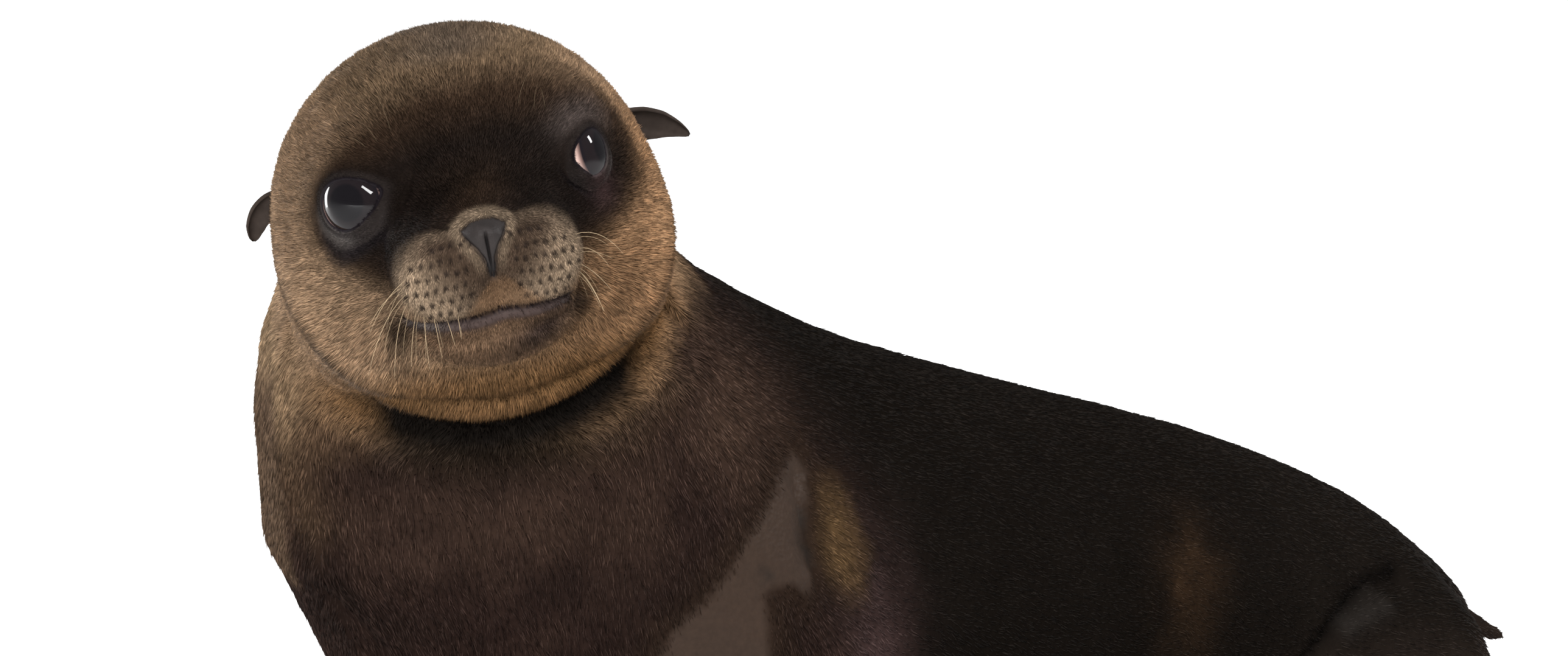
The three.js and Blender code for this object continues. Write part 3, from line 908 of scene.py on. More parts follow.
def muzzle_marks(at):
    """Marks of the muzzle's pads, the whiskers' roots, and painted shade at the nose's edge."""
    (x, y, z), fine = at.head, at.fine
    pads = np.hypot((np.abs(x) - 15.5) / 17, (z + 23.5) / 16.5) + 0.07 * fine
    pads = np.minimum(pads, np.hypot(x / 20, (z + 28) / 12))
    pads = fall(pads, 0.72, 1.12) * fall(y, -84, -76)
    yield "muzzle", pads
    outward = (np.abs(x) - 15) / 12 - (z + 24) / 13 + 0.25 * fine
    yield "muzzle_top", 0.95 * pads * fall(outward, -0.8, 1.3)
    yield "mask", 0.55 * pads * rise(z + 0.12 * np.abs(x), -16, -6)
    nose = outline_distance(x, z, NOSE_OUTLINE)
    yield "nose_ring", 0.7 * rise(nose, -4.4, -2.8) * rise(z, -26, -17) * (y < -85)
    # Painted shade at the nose pad's edge
    yield "rims_and_crease_shade", 0.85 * rise(nose, -1.1, 0.3) * (y < -85)
    spread = np.abs(x - 2) / (2.5 + 0.95 * np.maximum(-26 - z, 0))
    yield "lip_fur", 0.8 * fall(spread, 0.75, 1.3) * fall(z, -29, -24) * (y < -80)
    near = np.full(len(x), 9.0)
    for across, height in whisker_spots():
        near = np.minimum(near, np.hypot(np.abs(x) - across, z - height) / 1.3)
    yield "spots", 0.9 * fall(near, 0.4, 1.0) * (y < -70)


def mouth_marks(at):
    """Marks of the chin and the lips, with painted shade in the mouth's slit and corners."""
    (x, y, z), fine = at.head, at.fine
    chin = np.hypot(x / 33, (z + 40) / 21)
    yield "chin", fall(chin, 0.75, 1.1) * fall(z, -44, -40) * fall(y, -50, -44)
    over = z - mouth_line(x)
    ahead = y < -60
    lips = ahead * rise(over, -7 - 1.5 * fine, -3) * fall(over, 0.2, 1.0)
    yield "lips", lips * fall(from_mouth(x), 27, 30)
    dark_lip = patch(x, z - 0.3 * (x - DARK_LIP[0]), DARK_LIP) * (y < -62)
    yield "lip_shade", 0.9 * dark_lip * (over < 0.5)
    yield "lid_streak_and_glint", 0.6 * patch(x, over, GREY_LIP) * ahead * (0.7 + 0.4 * fine)
    # Painted shade in the slit of the closed mouth
    yield "rims_and_crease_shade", ahead * bump(over, 0.8) * (from_mouth(x) < 29)
    # Painted shade in the fold at the corners of the mouth, in the mask's colour
    corner = np.hypot(from_mouth(x) - 31.5, (z + 43) * 0.6)
    yield "mask", 0.9 * bump(corner, 5.5) * (y < -50)


def eye_marks(at):
    """Marks of the left brow and of the lids, with painted sheen, shade in their folds and wet
    glints.
    """
    (x, y, z), fine = at.head, at.fine
    # Grey fur above the left eye, partly painted sheen
    yield "brow_grey_sheen", 0.8 * patch(x, z, LEFT_BROW) * (y < -40)
    for side in SIDES:
        distance, past, turn = eye_angles(at.local, side)
        lower = rise(-np.sin(turn), -0.2, 0.8)
        close = (distance < 30).astype(float)
        yield "mask", 0.9 * close * fall(past, 8, 26)
        lid = close * fall(past, 7 + 14 * lower, 15 + 10 * lower) * (0.35 + 0.45 * lower)
        lid = lid * (0.6 + 0.4 * rise(-np.cos(turn), -0.6, 0.4))
        yield "lids", lid * (0.8 + 0.3 * fine)
        streak = close * lower * bump(past - 14, 5) * rise(-np.cos(turn), -0.3, 0.5)
        yield "lid_streak_and_glint", 0.55 * streak
        upper = 1 - lower
        yield "rims_and_crease_shade", close * fall(past, 1.5 + 1.5 * upper, 3.5 + 2 * upper)
        # Painted wet glint along the lower lid's rim
        wet = bump(past - 3.2, 0.8) * bump(turn % (2 * math.pi) - 3.6, 0.9)
        yield "lid_streak_and_glint", 0.5 * close * wet
        # Painted shade in the fold of the lower lid
        yield "rims_and_crease_shade", 0.7 * close * lower * bump(past - LID_FOLD, 1.6)
    yield "lid_corner", 0.9 * patch(x, z, LEFT_LID_CORNER) * (y < -40)


def skin_marks(at):
    """Marks of the bare skin, with painted shade in the crease of the fore limb."""
    side, long, up = at.body
    outer = np.abs(side) > 60
    yield "bare", limb_patch(at.points)
    yield "back", 0.9 * patch(long, up, BARE_SPOT) * outer
    # Painted shade along the crease of the fore limb
    yield "back", 0.85 * bump(path_distance(long, up, ARM_CREASE[1:]), 1.8) * outer
    yield "flippers", flipper_share(at.points)


MARKS = (
    body_marks, neck_marks, head_marks, mask_marks,
    muzzle_marks, mouth_marks, eye_marks, skin_marks,
)


def markings(points, palette):
    """The animal's colour at each point, under the coat as on it."""
    at = Place(points)
    colour = np.tile(palette["back"], (len(points), 1))
    for marks in MARKS:
        for name, share in marks(at):
            if name == "lighter":
                colour = colour * (1 + share)[:, None]
            else:
                colour = colour + (palette[name] - colour) * share[:, None]
    return colour * (1 + 0.08 * at.drift + 0.08 * at.fine)[:, None]


# ---- materials ----


def new_material(name, values):
    """A node material with values set on its shader, and its nodes by name."""
    material = bpy.data.materials.new(name)
    material.use_nodes = True
    shader = material.node_tree.nodes["Principled BSDF"]
    for socket, value in values.items():
        shader.inputs[socket].default_value = value
    return material, {"shader": shader}


def wired(tree, made, nodes, links):
    """Adds named nodes with their settings to a tree that has some, and joins their sockets."""
    for name, kind, settings in nodes:
        node = tree.nodes.new(kind)
        for key, value in settings.items():
            if hasattr(node, str(key)):
                setattr(node, key, value)
            else:
                node.inputs[key].default_value = value
        made[name] = node
    for source, output, target, place in links:
        tree.links.new(made[source].outputs[output], made[target].inputs[place])


def set_stops(ramp, stops):
    """Puts colours along a ramp, each at its place."""
    elements = ramp.color_ramp.elements
    while len(elements) < len(stops):
        elements.new(1)
    for element, (place, colour) in zip(elements, stops):
        element.position = place
        element.color = (*colour, 1)


def fur_material(name, roughness, speckle):
    """Fur or skin in the tint painted on its points, speckled as short hair is."""
    material, made = new_material(name, {"Roughness": roughness, "Specular IOR Level": 0.03})
    nodes = (
        ("tint", "ShaderNodeAttribute", {"attribute_name": "tint"}),
        ("place", "ShaderNodeTexCoord", {}),
        ("noise", "ShaderNodeTexNoise", {"Scale": 420, "Detail": 3}),
        ("speckle", "ShaderNodeMapRange", {"To Min": 1 - speckle, "To Max": 1 + speckle}),
        ("mix", "ShaderNodeMix", {"data_type": "RGBA", "blend_type": "MULTIPLY", "Factor": 1}),
    )
    links = (
        ("place", "Object", "noise", "Vector"),
        ("noise", "Fac", "speckle", "Value"),
        ("tint", "Color", "mix", 6),
        ("speckle", "Result", "mix", 7),
        ("mix", 2, "shader", "Base Color"),
    )
    wired(material.node_tree, made, nodes, links)
    return material, made


def skin_material():
    """Skin: matt where the coat covers it, and leathery with a low shine where it is bare."""
    material, made = fur_material("skin", 0.6, 0.25)
    nodes = (
        ("bare", "ShaderNodeAttribute", {"attribute_name": "bare"}),
        ("rough", "ShaderNodeMapRange", {"To Min": 0.62, "To Max": 0.5}),
        ("shine", "ShaderNodeMapRange", {"To Min": 0.0, "To Max": 0.1}),
        ("cells", "ShaderNodeTexVoronoi", {"Scale": 620}),
        ("relief", "ShaderNodeBump", {"Strength": 0.35, "Distance": 0.0005}),
    )
    links = (
        ("bare", "Fac", "rough", "Value"),
        ("rough", "Result", "shader", "Roughness"),
        ("bare", "Fac", "shine", "Value"),
        ("shine", "Result", "shader", "Specular IOR Level"),
        ("place", "Object", "cells", "Vector"),
        ("cells", "Distance", "relief", "Height"),
        ("relief", "Normal", "shader", "Normal"),
    )
    wired(material.node_tree, made, nodes, links)
    return material


def eye_material(looks):
    """A wet eye: black pupil, dark iris, pink-white round it."""
    values = {
        "Roughness": 0.5, "Specular IOR Level": 0.0,
        "Coat Weight": 1.0, "Coat Roughness": 0.02, "Coat IOR": 1.33,
    }
    material, made = new_material("eye", values)
    nodes = (
        ("gaze", "ShaderNodeAttribute", {"attribute_name": "gaze"}),
        ("ramp", "ShaderNodeValToRGB", {}),
    )
    links = (("gaze", "Fac", "ramp", "Fac"), ("ramp", "Color", "shader", "Base Color"))
    wired(material.node_tree, made, nodes, links)
    set_stops(made["ramp"], (
        (0.24, looks.pupil), (0.28, looks.iris), (0.42, looks.iris),
        (0.475, looks.limbus), (0.515, looks.white_edge), (0.57, looks.white),
    ))
    return material


def leather_material(name, colour, groove_shade_colour):
    """Smooth dark leather with fine cracks, and painted shade in its grooves."""
    material, made = new_material(name, {"Roughness": 0.5, "Specular IOR Level": 0.12})
    nodes = (
        ("groove", "ShaderNodeAttribute", {"attribute_name": "groove"}),
        ("place", "ShaderNodeTexCoord", {}),
        ("cells", "ShaderNodeTexVoronoi", {"Scale": 1500}),
        ("clouds", "ShaderNodeTexNoise", {"Scale": 160}),
        ("tone", "ShaderNodeValToRGB", {}),
        ("mix", "ShaderNodeMix", {"data_type": "RGBA", 7: (*groove_shade_colour, 1)}),
        ("relief", "ShaderNodeBump", {"Strength": 0.3, "Distance": 0.0003}),
    )
    links = (
        ("place", "Object", "cells", "Vector"),
        ("place", "Object", "clouds", "Vector"),
        ("clouds", "Fac", "tone", "Fac"),
        ("tone", "Color", "mix", 6),
        ("groove", "Fac", "mix", "Factor"),
        ("mix", 2, "shader", "Base Color"),
        ("cells", "Distance", "relief", "Height"),
        ("relief", "Normal", "shader", "Normal"),
    )
    wired(material.node_tree, made, nodes, links)
    dark, light = ([share * value for value in colour] for share in (0.8, 1.2))
    set_stops(made["tone"], ((0.3, dark), (0.7, light)))
    return material


def horn_material(name, pale, dark):
    """Horn, clouded from pale to dark."""
    material, made = new_material(name, {"Roughness": 0.35})
    nodes = (
        ("place", "ShaderNodeTexCoord", {}),
        ("clouds", "ShaderNodeTexNoise", {"Scale": 90}),
        ("tone", "ShaderNodeValToRGB", {}),
    )
    links = (
        ("place", "Object", "clouds", "Vector"),
        ("clouds", "Fac", "tone", "Fac"),
        ("tone", "Color", "shader", "Base Color"),
    )
    wired(material.node_tree, made, nodes, links)
    set_stops(made["tone"], ((0.35, dark), (0.6, pale)))
    return material


def paint(mesh, name, values):
    """Keeps a colour or a number on a mesh's points."""
    flat = np.asarray(values, np.float32)
    if flat.ndim == 1:
        kept = mesh.attributes.new(name, "FLOAT", "POINT")
        kept.data.foreach_set("value", flat)
    else:
        full = np.ones((len(flat), 4), np.float32)
        full[:, :3] = flat
        kept = mesh.attributes.new(name, "FLOAT_COLOR", "POINT")
        kept.data.foreach_set("color", full.ravel())


# ---- the coat ----


def mixed(first, second, share):
    """Directions between two fields of them: the first where the share is 0."""
    return first * (1 - share)[:, None] + second * share[:, None]


def lie(points, normals):
    """The way the coat lies at each point: away from the nose, then down and back to the tail."""
    local = in_head(points)
    x, y, z = points.T
    away = unit((local - (0, -112, -10)) @ HEAD_AXES.T)
    outward = np.sign(x)[:, None]
    down = outward * (0.25, 0, 0) + (0, 0.12, -1)
    back = np.array((0, 1, -0.42))
    body = mixed(back, down, fall(y + 0.25 * (z - 0.2), -0.22, -0.12))
    limb = outward * (0.8, 0, 0) + (0, 0.2, -0.7)
    body = mixed(body, limb, fall(z, 0.05, 0.11) * rise(np.abs(x), 0.06, 0.1))
    way = mixed(body, away, fall(reach(local, (0, -12, -14)), 76, 96))
    sway = np.stack([mottle(points, 0.011, seed) for seed in (11, 12, 13)], 1)
    fine = np.stack([mottle(points, 0.0035, seed) for seed in (14, 15, 16)], 1)
    way = way + 0.22 * sway + 0.16 * fine
    return unit(way - normals * np.sum(way * normals, axis=1)[:, None])


# Each piece of the coat: how many tufts, and its slot.
COATS = {
    "coat_face": (49000, "golden_fur"),
    "coat_crown_left": (44000, "golden_fur"),
    "coat_crown_right": (44000, "golden_fur"),
    "coat_jowl_left": (40000, "golden_fur"),
    "coat_jowl_right": (40000, "dark_fur"),
    "coat_neck": (38000, "dark_fur"),
    "coat_chest": (49500, "dark_fur"),
    "coat_back": (34000, "dark_fur"),
    "coat_rump": (26000, "dark_fur"),
}
# Barer skin than this has none.
MOST_BARE = 0.97
# Lift that is added on the crown, and the lift on the lids.
CROWN_LIFT = math.radians(14)
LID_LIFT = math.radians(8)
# A tuft has two corners at its root, a knee and a tip. Its faces, its small spot on the map of
# the coat, the map's empty edge, and how low a hair may hang above the floor in metres.
TUFT_FACES = np.array(((0, 1, 3), (1, 2, 3), (2, 0, 3), (0, 2, 1)))
TUFT_SPOTS = np.array(((-0.0015, -0.0015), (0.0015, -0.0015), (0, -0.0003), (0, 0.0015)))
MAP_EDGE = 0.002
LOWEST_HAIR = 0.0005
# Shares of the colour at the root and the knee of a tuft, and on the skin under the coat; the dark
# roots are partly painted shade deep in the coat.
ROOT_TONE = 0.3
KNEE_TONE = 0.85
SKIN_TONE = 0.55


def tuft_shape(points, local, sizes):
    """Length and width in metres and lift in radians of a tuft at each point."""
    x, y, z = local.T
    side, long, up = points.T * 1000
    head = head_share(local)
    chest = fall(long + 0.35 * (up - 180), -200, -100)
    face = fall(np.hypot(x / 50, (z + 4) / 44), 0.7, 1.2) * fall(y, -50, -30)
    muzzle = fall(reach(local, MUZZLE_FUR_MIDDLE, MUZZLE_FUR_SIZE), 0.7, 1.3)
    layers = [
        (head, sizes.head_length, sizes.head_width),
        (face, sizes.face_length, sizes.face_width),
        (muzzle, sizes.muzzle_length, sizes.muzzle_width),
    ]
    lift = sizes.body_lift * (1 + 0.67 * chest)
    lift = lift + (sizes.head_lift - lift) * head
    lift = lift + CROWN_LIFT * head * rise(z, 20, 60)
    for eye_side in SIDES:
        distance, past, _ = eye_angles(local, eye_side)
        lid = (distance < 30) * fall(past, 12, 38)
        layers.append((lid, sizes.lid_length, sizes.lid_width))
        lift = lift + (LID_LIFT - lift) * lid
    long_hair = sizes.body_length * (1 + 0.13 * chest)
    wide_hair = sizes.body_width * (1 - 0.07 * chest)
    for share, own_length, own_width in layers:
        long_hair = long_hair + (own_length - long_hair) * share
        wide_hair = wide_hair + (own_width - wide_hair) * share
    low = fall(up, 20, 100)
    edge = rise(outline_distance(long, up, BARE_OUTLINE), -10, 0) * rise(np.abs(side), 50, 70)
    long_hair = long_hair * (1 - 0.55 * edge) * (1 - 0.5 * low)
    wide_hair = wide_hair * (1 - 0.3 * edge) * (1 - 0.3 * low)
    return long_hair, wide_hair, lift


def coat_regions(points):
    """The name of the coat piece that each point belongs to."""
    local = in_head(points)
    side, long, up = points.T * 1000
    wave = mottle(points, 0.014, 41)
    neck = up > neck_edge(side, long) - 7 + 8 * wave
    head = (reach(local, HEAD_MIDDLE) < 88) & neck
    face = (np.hypot(local[:, 0] / 56, (local[:, 2] + 8) / 50) < 1) & (local[:, 1] < -34)
    left = local[:, 0] > 0
    high = local[:, 2] > 8
    regions = {
        "coat_face": head & face,
        "coat_crown_left": head & high & left,
        "coat_crown_right": head & high,
        "coat_jowl_left": head & left,
        "coat_jowl_right": head,
        "coat_neck": neck,
        "coat_chest": long + 0.35 * (up - 180) + 9 * wave < -130,
        "coat_rump": long > 100,
    }
    return np.select(list(regions.values()), list(regions), "coat_back")


def mesh_of(name, points, triangles):
    """A mesh of points and triangles."""
    mesh = bpy.data.meshes.new(name)
    mesh.vertices.add(len(points))
    mesh.vertices.foreach_set("co", np.asarray(points, np.float32).ravel())
    mesh.loops.add(triangles.size)
    mesh.loops.foreach_set("vertex_index", np.asarray(triangles, np.int32).ravel())
    mesh.polygons.add(len(triangles))
    mesh.polygons.foreach_set("loop_start", np.arange(0, triangles.size, 3, dtype=np.int32))
    mesh.update(calc_edges=True)
    return mesh


def unwrapped(points, triangles):
    """Flat places, 0 to 1, for the corners of triangles, cut by their own shape."""
    used, numbered = np.unique(triangles, return_inverse=True)
    part = mesh_of("unwrap", points[used], numbered.reshape(-1, 3))
    piece = object_of("unwrap", part)
    bpy.ops.object.select_all(action="DESELECT")
    piece.select_set(True)
    bpy.context.view_layer.objects.active = piece
    bpy.ops.object.mode_set(mode="EDIT")
    bpy.ops.mesh.select_all(action="SELECT")
    bpy.ops.uv.smart_project(angle_limit=math.radians(66), island_margin=0.003)
    bpy.ops.object.mode_set(mode="OBJECT")
    flat = np.empty(len(part.loops) * 2, np.float32)
    part.uv_layers.active.data.foreach_get("uv", flat)
    bpy.data.objects.remove(piece)
    bpy.data.meshes.remove(part)
    return flat.reshape(-1, 3, 2).astype(float)


def rooted(random, skin, triangles, count, sizes):
    """Roots, normals and flat places of tufts spread over some of the skin's triangles."""
    points, normals = read(skin)
    corners = points[triangles]
    middle = corners.mean(1)
    local = in_head(middle)
    first, second = corners[:, 1] - corners[:, 0], corners[:, 2] - corners[:, 0]
    area = np.linalg.norm(np.cross(first, second), axis=1)
    area = area * np.clip(1 - bareness(middle, local), 0, 1) * (middle[:, 2] > 0.002)
    area = area / tuft_shape(middle, local, sizes)[1] ** 1.2
    marks = np.cumsum(area)
    chosen = np.searchsorted(marks, (np.arange(count) + random.random(count)) / count * marks[-1])
    chosen = np.minimum(chosen, len(triangles) - 1)
    share = random.random((count, 2))
    share = np.where(share.sum(1)[:, None] > 1, 1 - share, share)
    share = np.column_stack([1 - share.sum(1), share])[:, :, None]
    fields = (corners, normals[triangles], unwrapped(points, triangles))
    root, normal, place = ((field[chosen] * share).sum(1) for field in fields)
    return root, unit(normal), place


def tuft_corners(random, root, normal, sizes):
    """Corners of each tuft: two at its root, its knee and its tip."""
    count = len(root)
    forward = lie(root, normal)
    across = np.cross(normal, forward)
    long, wide, lift = tuft_shape(root, in_head(root), sizes)
    long = (long * random.uniform(0.7, 1.25, count))[:, None]
    wide = (wide * random.uniform(0.75, 1.25, count))[:, None]
    forward = forward + across * random.normal(0, 0.10, count)[:, None]
    raised = (lift * (1 + random.normal(0, 0.15, count)))[:, None]
    laid = raised * 0.5 + np.radians(random.normal(0, 3, count))[:, None]
    base = root - normal * 0.0003
    half = 0.5 * wide * across
    knee = root + 0.38 * long * (forward * np.cos(raised) + normal * np.sin(raised))
    knee = knee + normal * 0.25 * wide
    tip = root + long * (forward * np.cos(laid) + normal * np.sin(laid))
    return np.stack([base - half, base + half, knee, tip], 1)


def tufts(name, skin, triangles, sizes, palette, seed):
    """One piece of the coat: closed, pointed tufts rooted on some of the skin's triangles."""
    count = int(COATS[name][0] * sizes.density)
    random = np.random.default_rng(seed)
    root, normal, place = rooted(random, skin, triangles, count, sizes)
    corners = tuft_corners(random, root, normal, sizes)
    outer = root + 0.6 * (corners[:, 3] - root)
    colour = markings(outer, palette) * random.uniform(0.6, 1.4, count)[:, None]
    colour = colour * (1 + 0.26 * mottle(root, 0.0028, 21))[:, None]
    # Tips are paler at random, partly as painted highlights on the hairs' ends
    pale = 0.8 + 1.9 * random.random(count)[:, None] ** 2
    tone = np.stack([share * colour for share in (ROOT_TONE, ROOT_TONE, KNEE_TONE, pale)], 1)
    corners[:, :, 2] = np.maximum(corners[:, :, 2], LOWEST_HAIR)
    faces = (np.arange(count)[:, None, None] * 4 + TUFT_FACES).reshape(-1, 3)
    mesh = mesh_of(name, corners.reshape(-1, 3), faces)
    paint(mesh, "tint", tone.reshape(-1, 3))
    place = MAP_EDGE + (1 - 2 * MAP_EDGE) * place
    spots = (place[:, None, :] + TUFT_SPOTS).reshape(-1, 2)[faces.ravel()]
    mesh.uv_layers.new(name="OFBake").data.foreach_set("uv", spots.astype(np.float32).ravel())
    mesh.shade_smooth()
    return mesh


# ---- nose, ears and whiskers ----


def surface_tree(piece):
    """A search tree of a finished piece's faces."""
    return BVHTree.FromObject(piece, bpy.context.evaluated_depsgraph_get())


def front_of(tree, x, z):
    """The y of a surface met from straight ahead of the face, in the head's frame."""
    origin = Vector(from_head(np.array((x, -150.0, z))))
    ahead = Vector(HEAD_AXES[:, 1])
    hit = tree.ray_cast(origin, ahead)[0]
    return in_head(np.array(hit)[None])[0, 1]


def closed_mesh(name, points, faces):
    """A smooth mesh of points and faces turned outward, without loose points."""
    form = bmesh.new()
    verts = [form.verts.new(point) for point in points]
    for face in faces:
        form.faces.new([verts[k] for k in face])
    loose = [vert for vert in verts if not vert.link_faces]
    bmesh.ops.delete(form, geom=loose, context="VERTS")
    bmesh.ops.recalc_face_normals(form, faces=form.faces)
    mesh = mesh_from(form, name)
    mesh.shade_smooth()
    return mesh


# The nose pad's grid in the head's frame: its step, half its width, and its two ends. Its back
# lies so far behind the skin, and the slits of the nostrils run so far inside its outline.
NOSE_STEP = 0.25
NOSE_HALF = 9.5
NOSE_BOTTOM, NOSE_TOP = -29, -3.4
NOSE_BACK = 2.5
NOSE_SLIT = 0.55


def nose_mesh(tree):
    """The bare nose pad: two lobes with a groove between them, narrowing to the lip."""
    across = np.arange(-NOSE_HALF, NOSE_HALF + 0.01, NOSE_STEP)
    along = np.arange(NOSE_BOTTOM, NOSE_TOP, NOSE_STEP)
    x, z = np.meshgrid(across, along, indexing="ij")
    coarse = np.array([[front_of(tree, at, up) for up in along[::4]] for at in across[::4]])
    rows = np.array([np.interp(along, along[::4], row) for row in coarse])
    skin = np.array([np.interp(across, across[::4], column) for column in rows.T]).T
    inside = outline_distance(x, z, NOSE_OUTLINE)
    height = np.where(inside > 0, 2.0 * (1 - np.exp(-np.maximum(inside, 0) / 0.9)), 1.2 * inside)
    height += 0.7 * bump(np.hypot(np.abs(x) - 3.2, z + 9.2), 3.4)
    height -= 1.3 * bump(x, 0.5) * rise(-z, 7.5, 12)
    height -= 1.1 * bump(inside - NOSE_SLIT, 0.35) * rise(-z, 8.5, 11) * fall(-z, 18, 23)
    front = np.stack([x, skin - height + 0.2, z], -1).reshape(-1, 3)
    behind = np.stack([x, skin + NOSE_BACK, z], -1).reshape(-1, 3)
    number = np.arange(x.size).reshape(x.shape)
    kept = inside > -0.9
    cells = kept[:-1, :-1] & kept[1:, :-1] & kept[1:, 1:] & kept[:-1, 1:]
    quads = np.stack([number[:-1, :-1], number[1:, :-1], number[1:, 1:], number[:-1, 1:]], -1)[cells]
    edges = np.concatenate([quads[:, [k, (k + 1) % 4]] for k in range(4)])
    reverse = {(last, first) for first, last in edges.tolist()}
    rim = np.array([edge for edge in edges.tolist() if tuple(edge) not in reverse])
    walls = np.column_stack([rim[:, ::-1], rim[:, 0] + x.size, rim[:, 1] + x.size])
    faces = np.vstack([quads, walls, quads[:, ::-1] + x.size])
    mesh = closed_mesh("nose_pad", from_head(np.vstack([front, behind])), faces)
    x, _, z = in_head(read(mesh)[0]).T
    slit = bump(outline_distance(x, z, NOSE_OUTLINE) - NOSE_SLIT, 0.45) * rise(-z, 8.5, 11)
    # The middle groove and the nostril slits are kept for painted shade
    paint(mesh, "groove", np.maximum(bump(x, 0.55) * rise(-z, 7.5, 12), slit))
    return mesh


# Each ear's root, bend and tip in the head's frame, and its half widths from root to tip.
EARS = {
    1: (((60, 3.5, 4.0), (73, 7, 4.0), (83, 10.5, -4.6)), (6.3, 6.2, 5.2, 3.1, 1.5, 0.5)),
    -1: (((60, 3.5, 3.0), (72, 7, 4.0), (75, 12.5, -9.5)), (5.0, 5.0, 4.6, 3.6, 2.0, 0.5)),
}


def ear_mesh(side):
    """A small furled ear, standing out and hanging back from its root."""
    steps = np.linspace(0, 1, 25)
    (root, bend, tip), widths = EARS[side]
    path = np.outer((1 - steps) ** 2, root) + np.outer(2 * steps * (1 - steps), bend)
    path = path + np.outer(steps**2, tip)
    along = unit(np.gradient(path, axis=0))
    wide = unit(np.cross(along, (0.25, 1.0, 0.1)))
    thick = np.cross(wide, along)
    half = np.interp(steps, (0, 0.3, 0.55, 0.8, 0.95, 1), widths)
    turn = np.linspace(0, math.pi, 15)
    outer = np.column_stack([np.cos(turn), np.sin(turn) * 0.62])
    inner = np.column_stack([np.cos(turn) * 0.80, np.sin(turn) * 0.62 - 0.30 + 0.12 * np.cos(turn)])
    loop = np.vstack([outer, inner[::-1]])
    rings = loop[:, 0][None, :, None] * wide[:, None] + loop[:, 1][None, :, None] * thick[:, None]
    points = (path[:, None] + rings * half[:, None, None]).reshape(-1, 3) * (side, 1, 1)
    number = np.arange(len(points)).reshape(rings.shape[:2])
    after = np.roll(number, -1, axis=1)
    walls = np.stack([number[:-1], after[:-1], after[1:], number[1:]], -1).reshape(-1, 4)
    return closed_mesh("ear", from_head(points), (*walls, number[0][::-1], number[-1]))


# Long pale whiskers on each side: root x and z, length, and the way they leave.
LONG_WHISKERS = {
    1: (
        (30, -19, 21, (1.3, -0.1, 0.1)), (31, -24, 16, (1.3, 0, -0.25)),
        (30, -29, 15, (1.0, -0.1, -0.7)), (29, -31, 20, (0.7, -0.2, -1.0)),
        (30, -33, 15, (0.5, -0.3, -1.0)),
    ),
    -1: (
        (28, -21, 27, (1.3, -0.3, -0.45)), (29, -26, 31, (1.1, -0.3, -0.7)),
        (29, -29, 27, (0.8, -0.3, -1.0)), (27, -32, 24, (0.5, -0.35, -1.0)),
        (25, -34, 20, (0.3, -0.4, -1.0)), (22, -35, 17, (0.15, -0.5, -1.0)),
        (18, -36, 12, (0.05, -0.5, -1.0)), (30, -24, 17, (1.2, -0.2, -0.3)),
        (14, -36, 9, (0, -0.6, -1.0)),
    ),
}
# Hairs of each brow: root x and z, and length.
BROW_HAIRS = ((27, 22, 11), (22, 25, 14), (31, 21, 8))
# Straight steps along each hair.
HAIR_STEPS = 8


def hair_root(tree, x, z, out):
    """A place so far out of the skin, straight ahead of the face."""
    return np.array((x, front_of(tree, x, z) + out, z))


def whisker_curves(side, random, tree, looks):
    """Start, way, length, root radius, droop and tint of one side's whiskers."""
    pale, dark = np.array(looks.pale), np.array(looks.dark)
    hairs = []
    for x, z in whisker_spots():
        way = np.array((side * (0.3 + 0.03 * x), -0.5, -0.6 - 0.4 * random.random()))
        long = random.uniform(1.8, 3.2) + 4.5 * rise(x - z, 38, 60) * random.random()
        hairs.append((hair_root(tree, side * x, z, 0.4), way, long, 0.09, 0.7, dark))
    for x, z, long, way in LONG_WHISKERS[side]:
        for radius, share in ((0.12, 1.0), (0.07, 0.7)):
            start = hair_root(tree, side * (x - 2.2 * (1 - share)), z - 4 * (1 - share), 0.6)
            leaving = np.array(way) * (side, 1, 1) + random.normal(0, 0.16, 3)
            droop = random.uniform(0.5, 2.3)
            own = share * long * random.uniform(0.8, 1.15)
            hairs.append((start, leaving, own, radius, droop, pale))
    for x, z, long in BROW_HAIRS:
        way = np.array((side * 0.1, -0.35, 0.9)) + random.normal(0, 0.15, 3)
        hairs.append((hair_root(tree, side * x, z, 0.6), way, long, 0.06, 0.6, 0.35 * pale))
    return hairs


def hair_path(start, way, long, droop):
    """Points of a hair that leaves along way and bends down as it goes."""
    here, path = start, [start]
    for step in range(HAIR_STEPS):
        bent = unit(way) + np.array((0, 0.10, -0.16)) * droop * step
        here = here + unit(bent) * long / HAIR_STEPS
        path.append(here)
    return np.array(path)


def whisker_paths(side, tree, looks):
    """The middle lines of one side's whiskers, with their thickness and tint on the points."""
    random = np.random.default_rng(40 + side)
    count = HAIR_STEPS + 1
    points, radii, tints = [], [], []
    for start, way, long, radius, droop, tint in whisker_curves(side, random, tree, looks):
        points.append(from_head(hair_path(start, way, long, droop)))
        radii.append(radius / 1000 * np.linspace(1, 0.12, count) ** 0.8)
        tints.append(np.linspace(0.5, 1.2, count)[:, None] * tint)
    number = np.arange(len(points) * count).reshape(-1, count)
    steps = np.stack([number[:, :-1], number[:, 1:]], -1).reshape(-1, 2)
    mesh = bpy.data.meshes.new("whiskers")
    mesh.from_pydata(np.vstack(points).tolist(), steps.tolist(), [])
    paint(mesh, "radius_at", np.concatenate(radii))
    paint(mesh, "tint", np.vstack(tints))
    return mesh


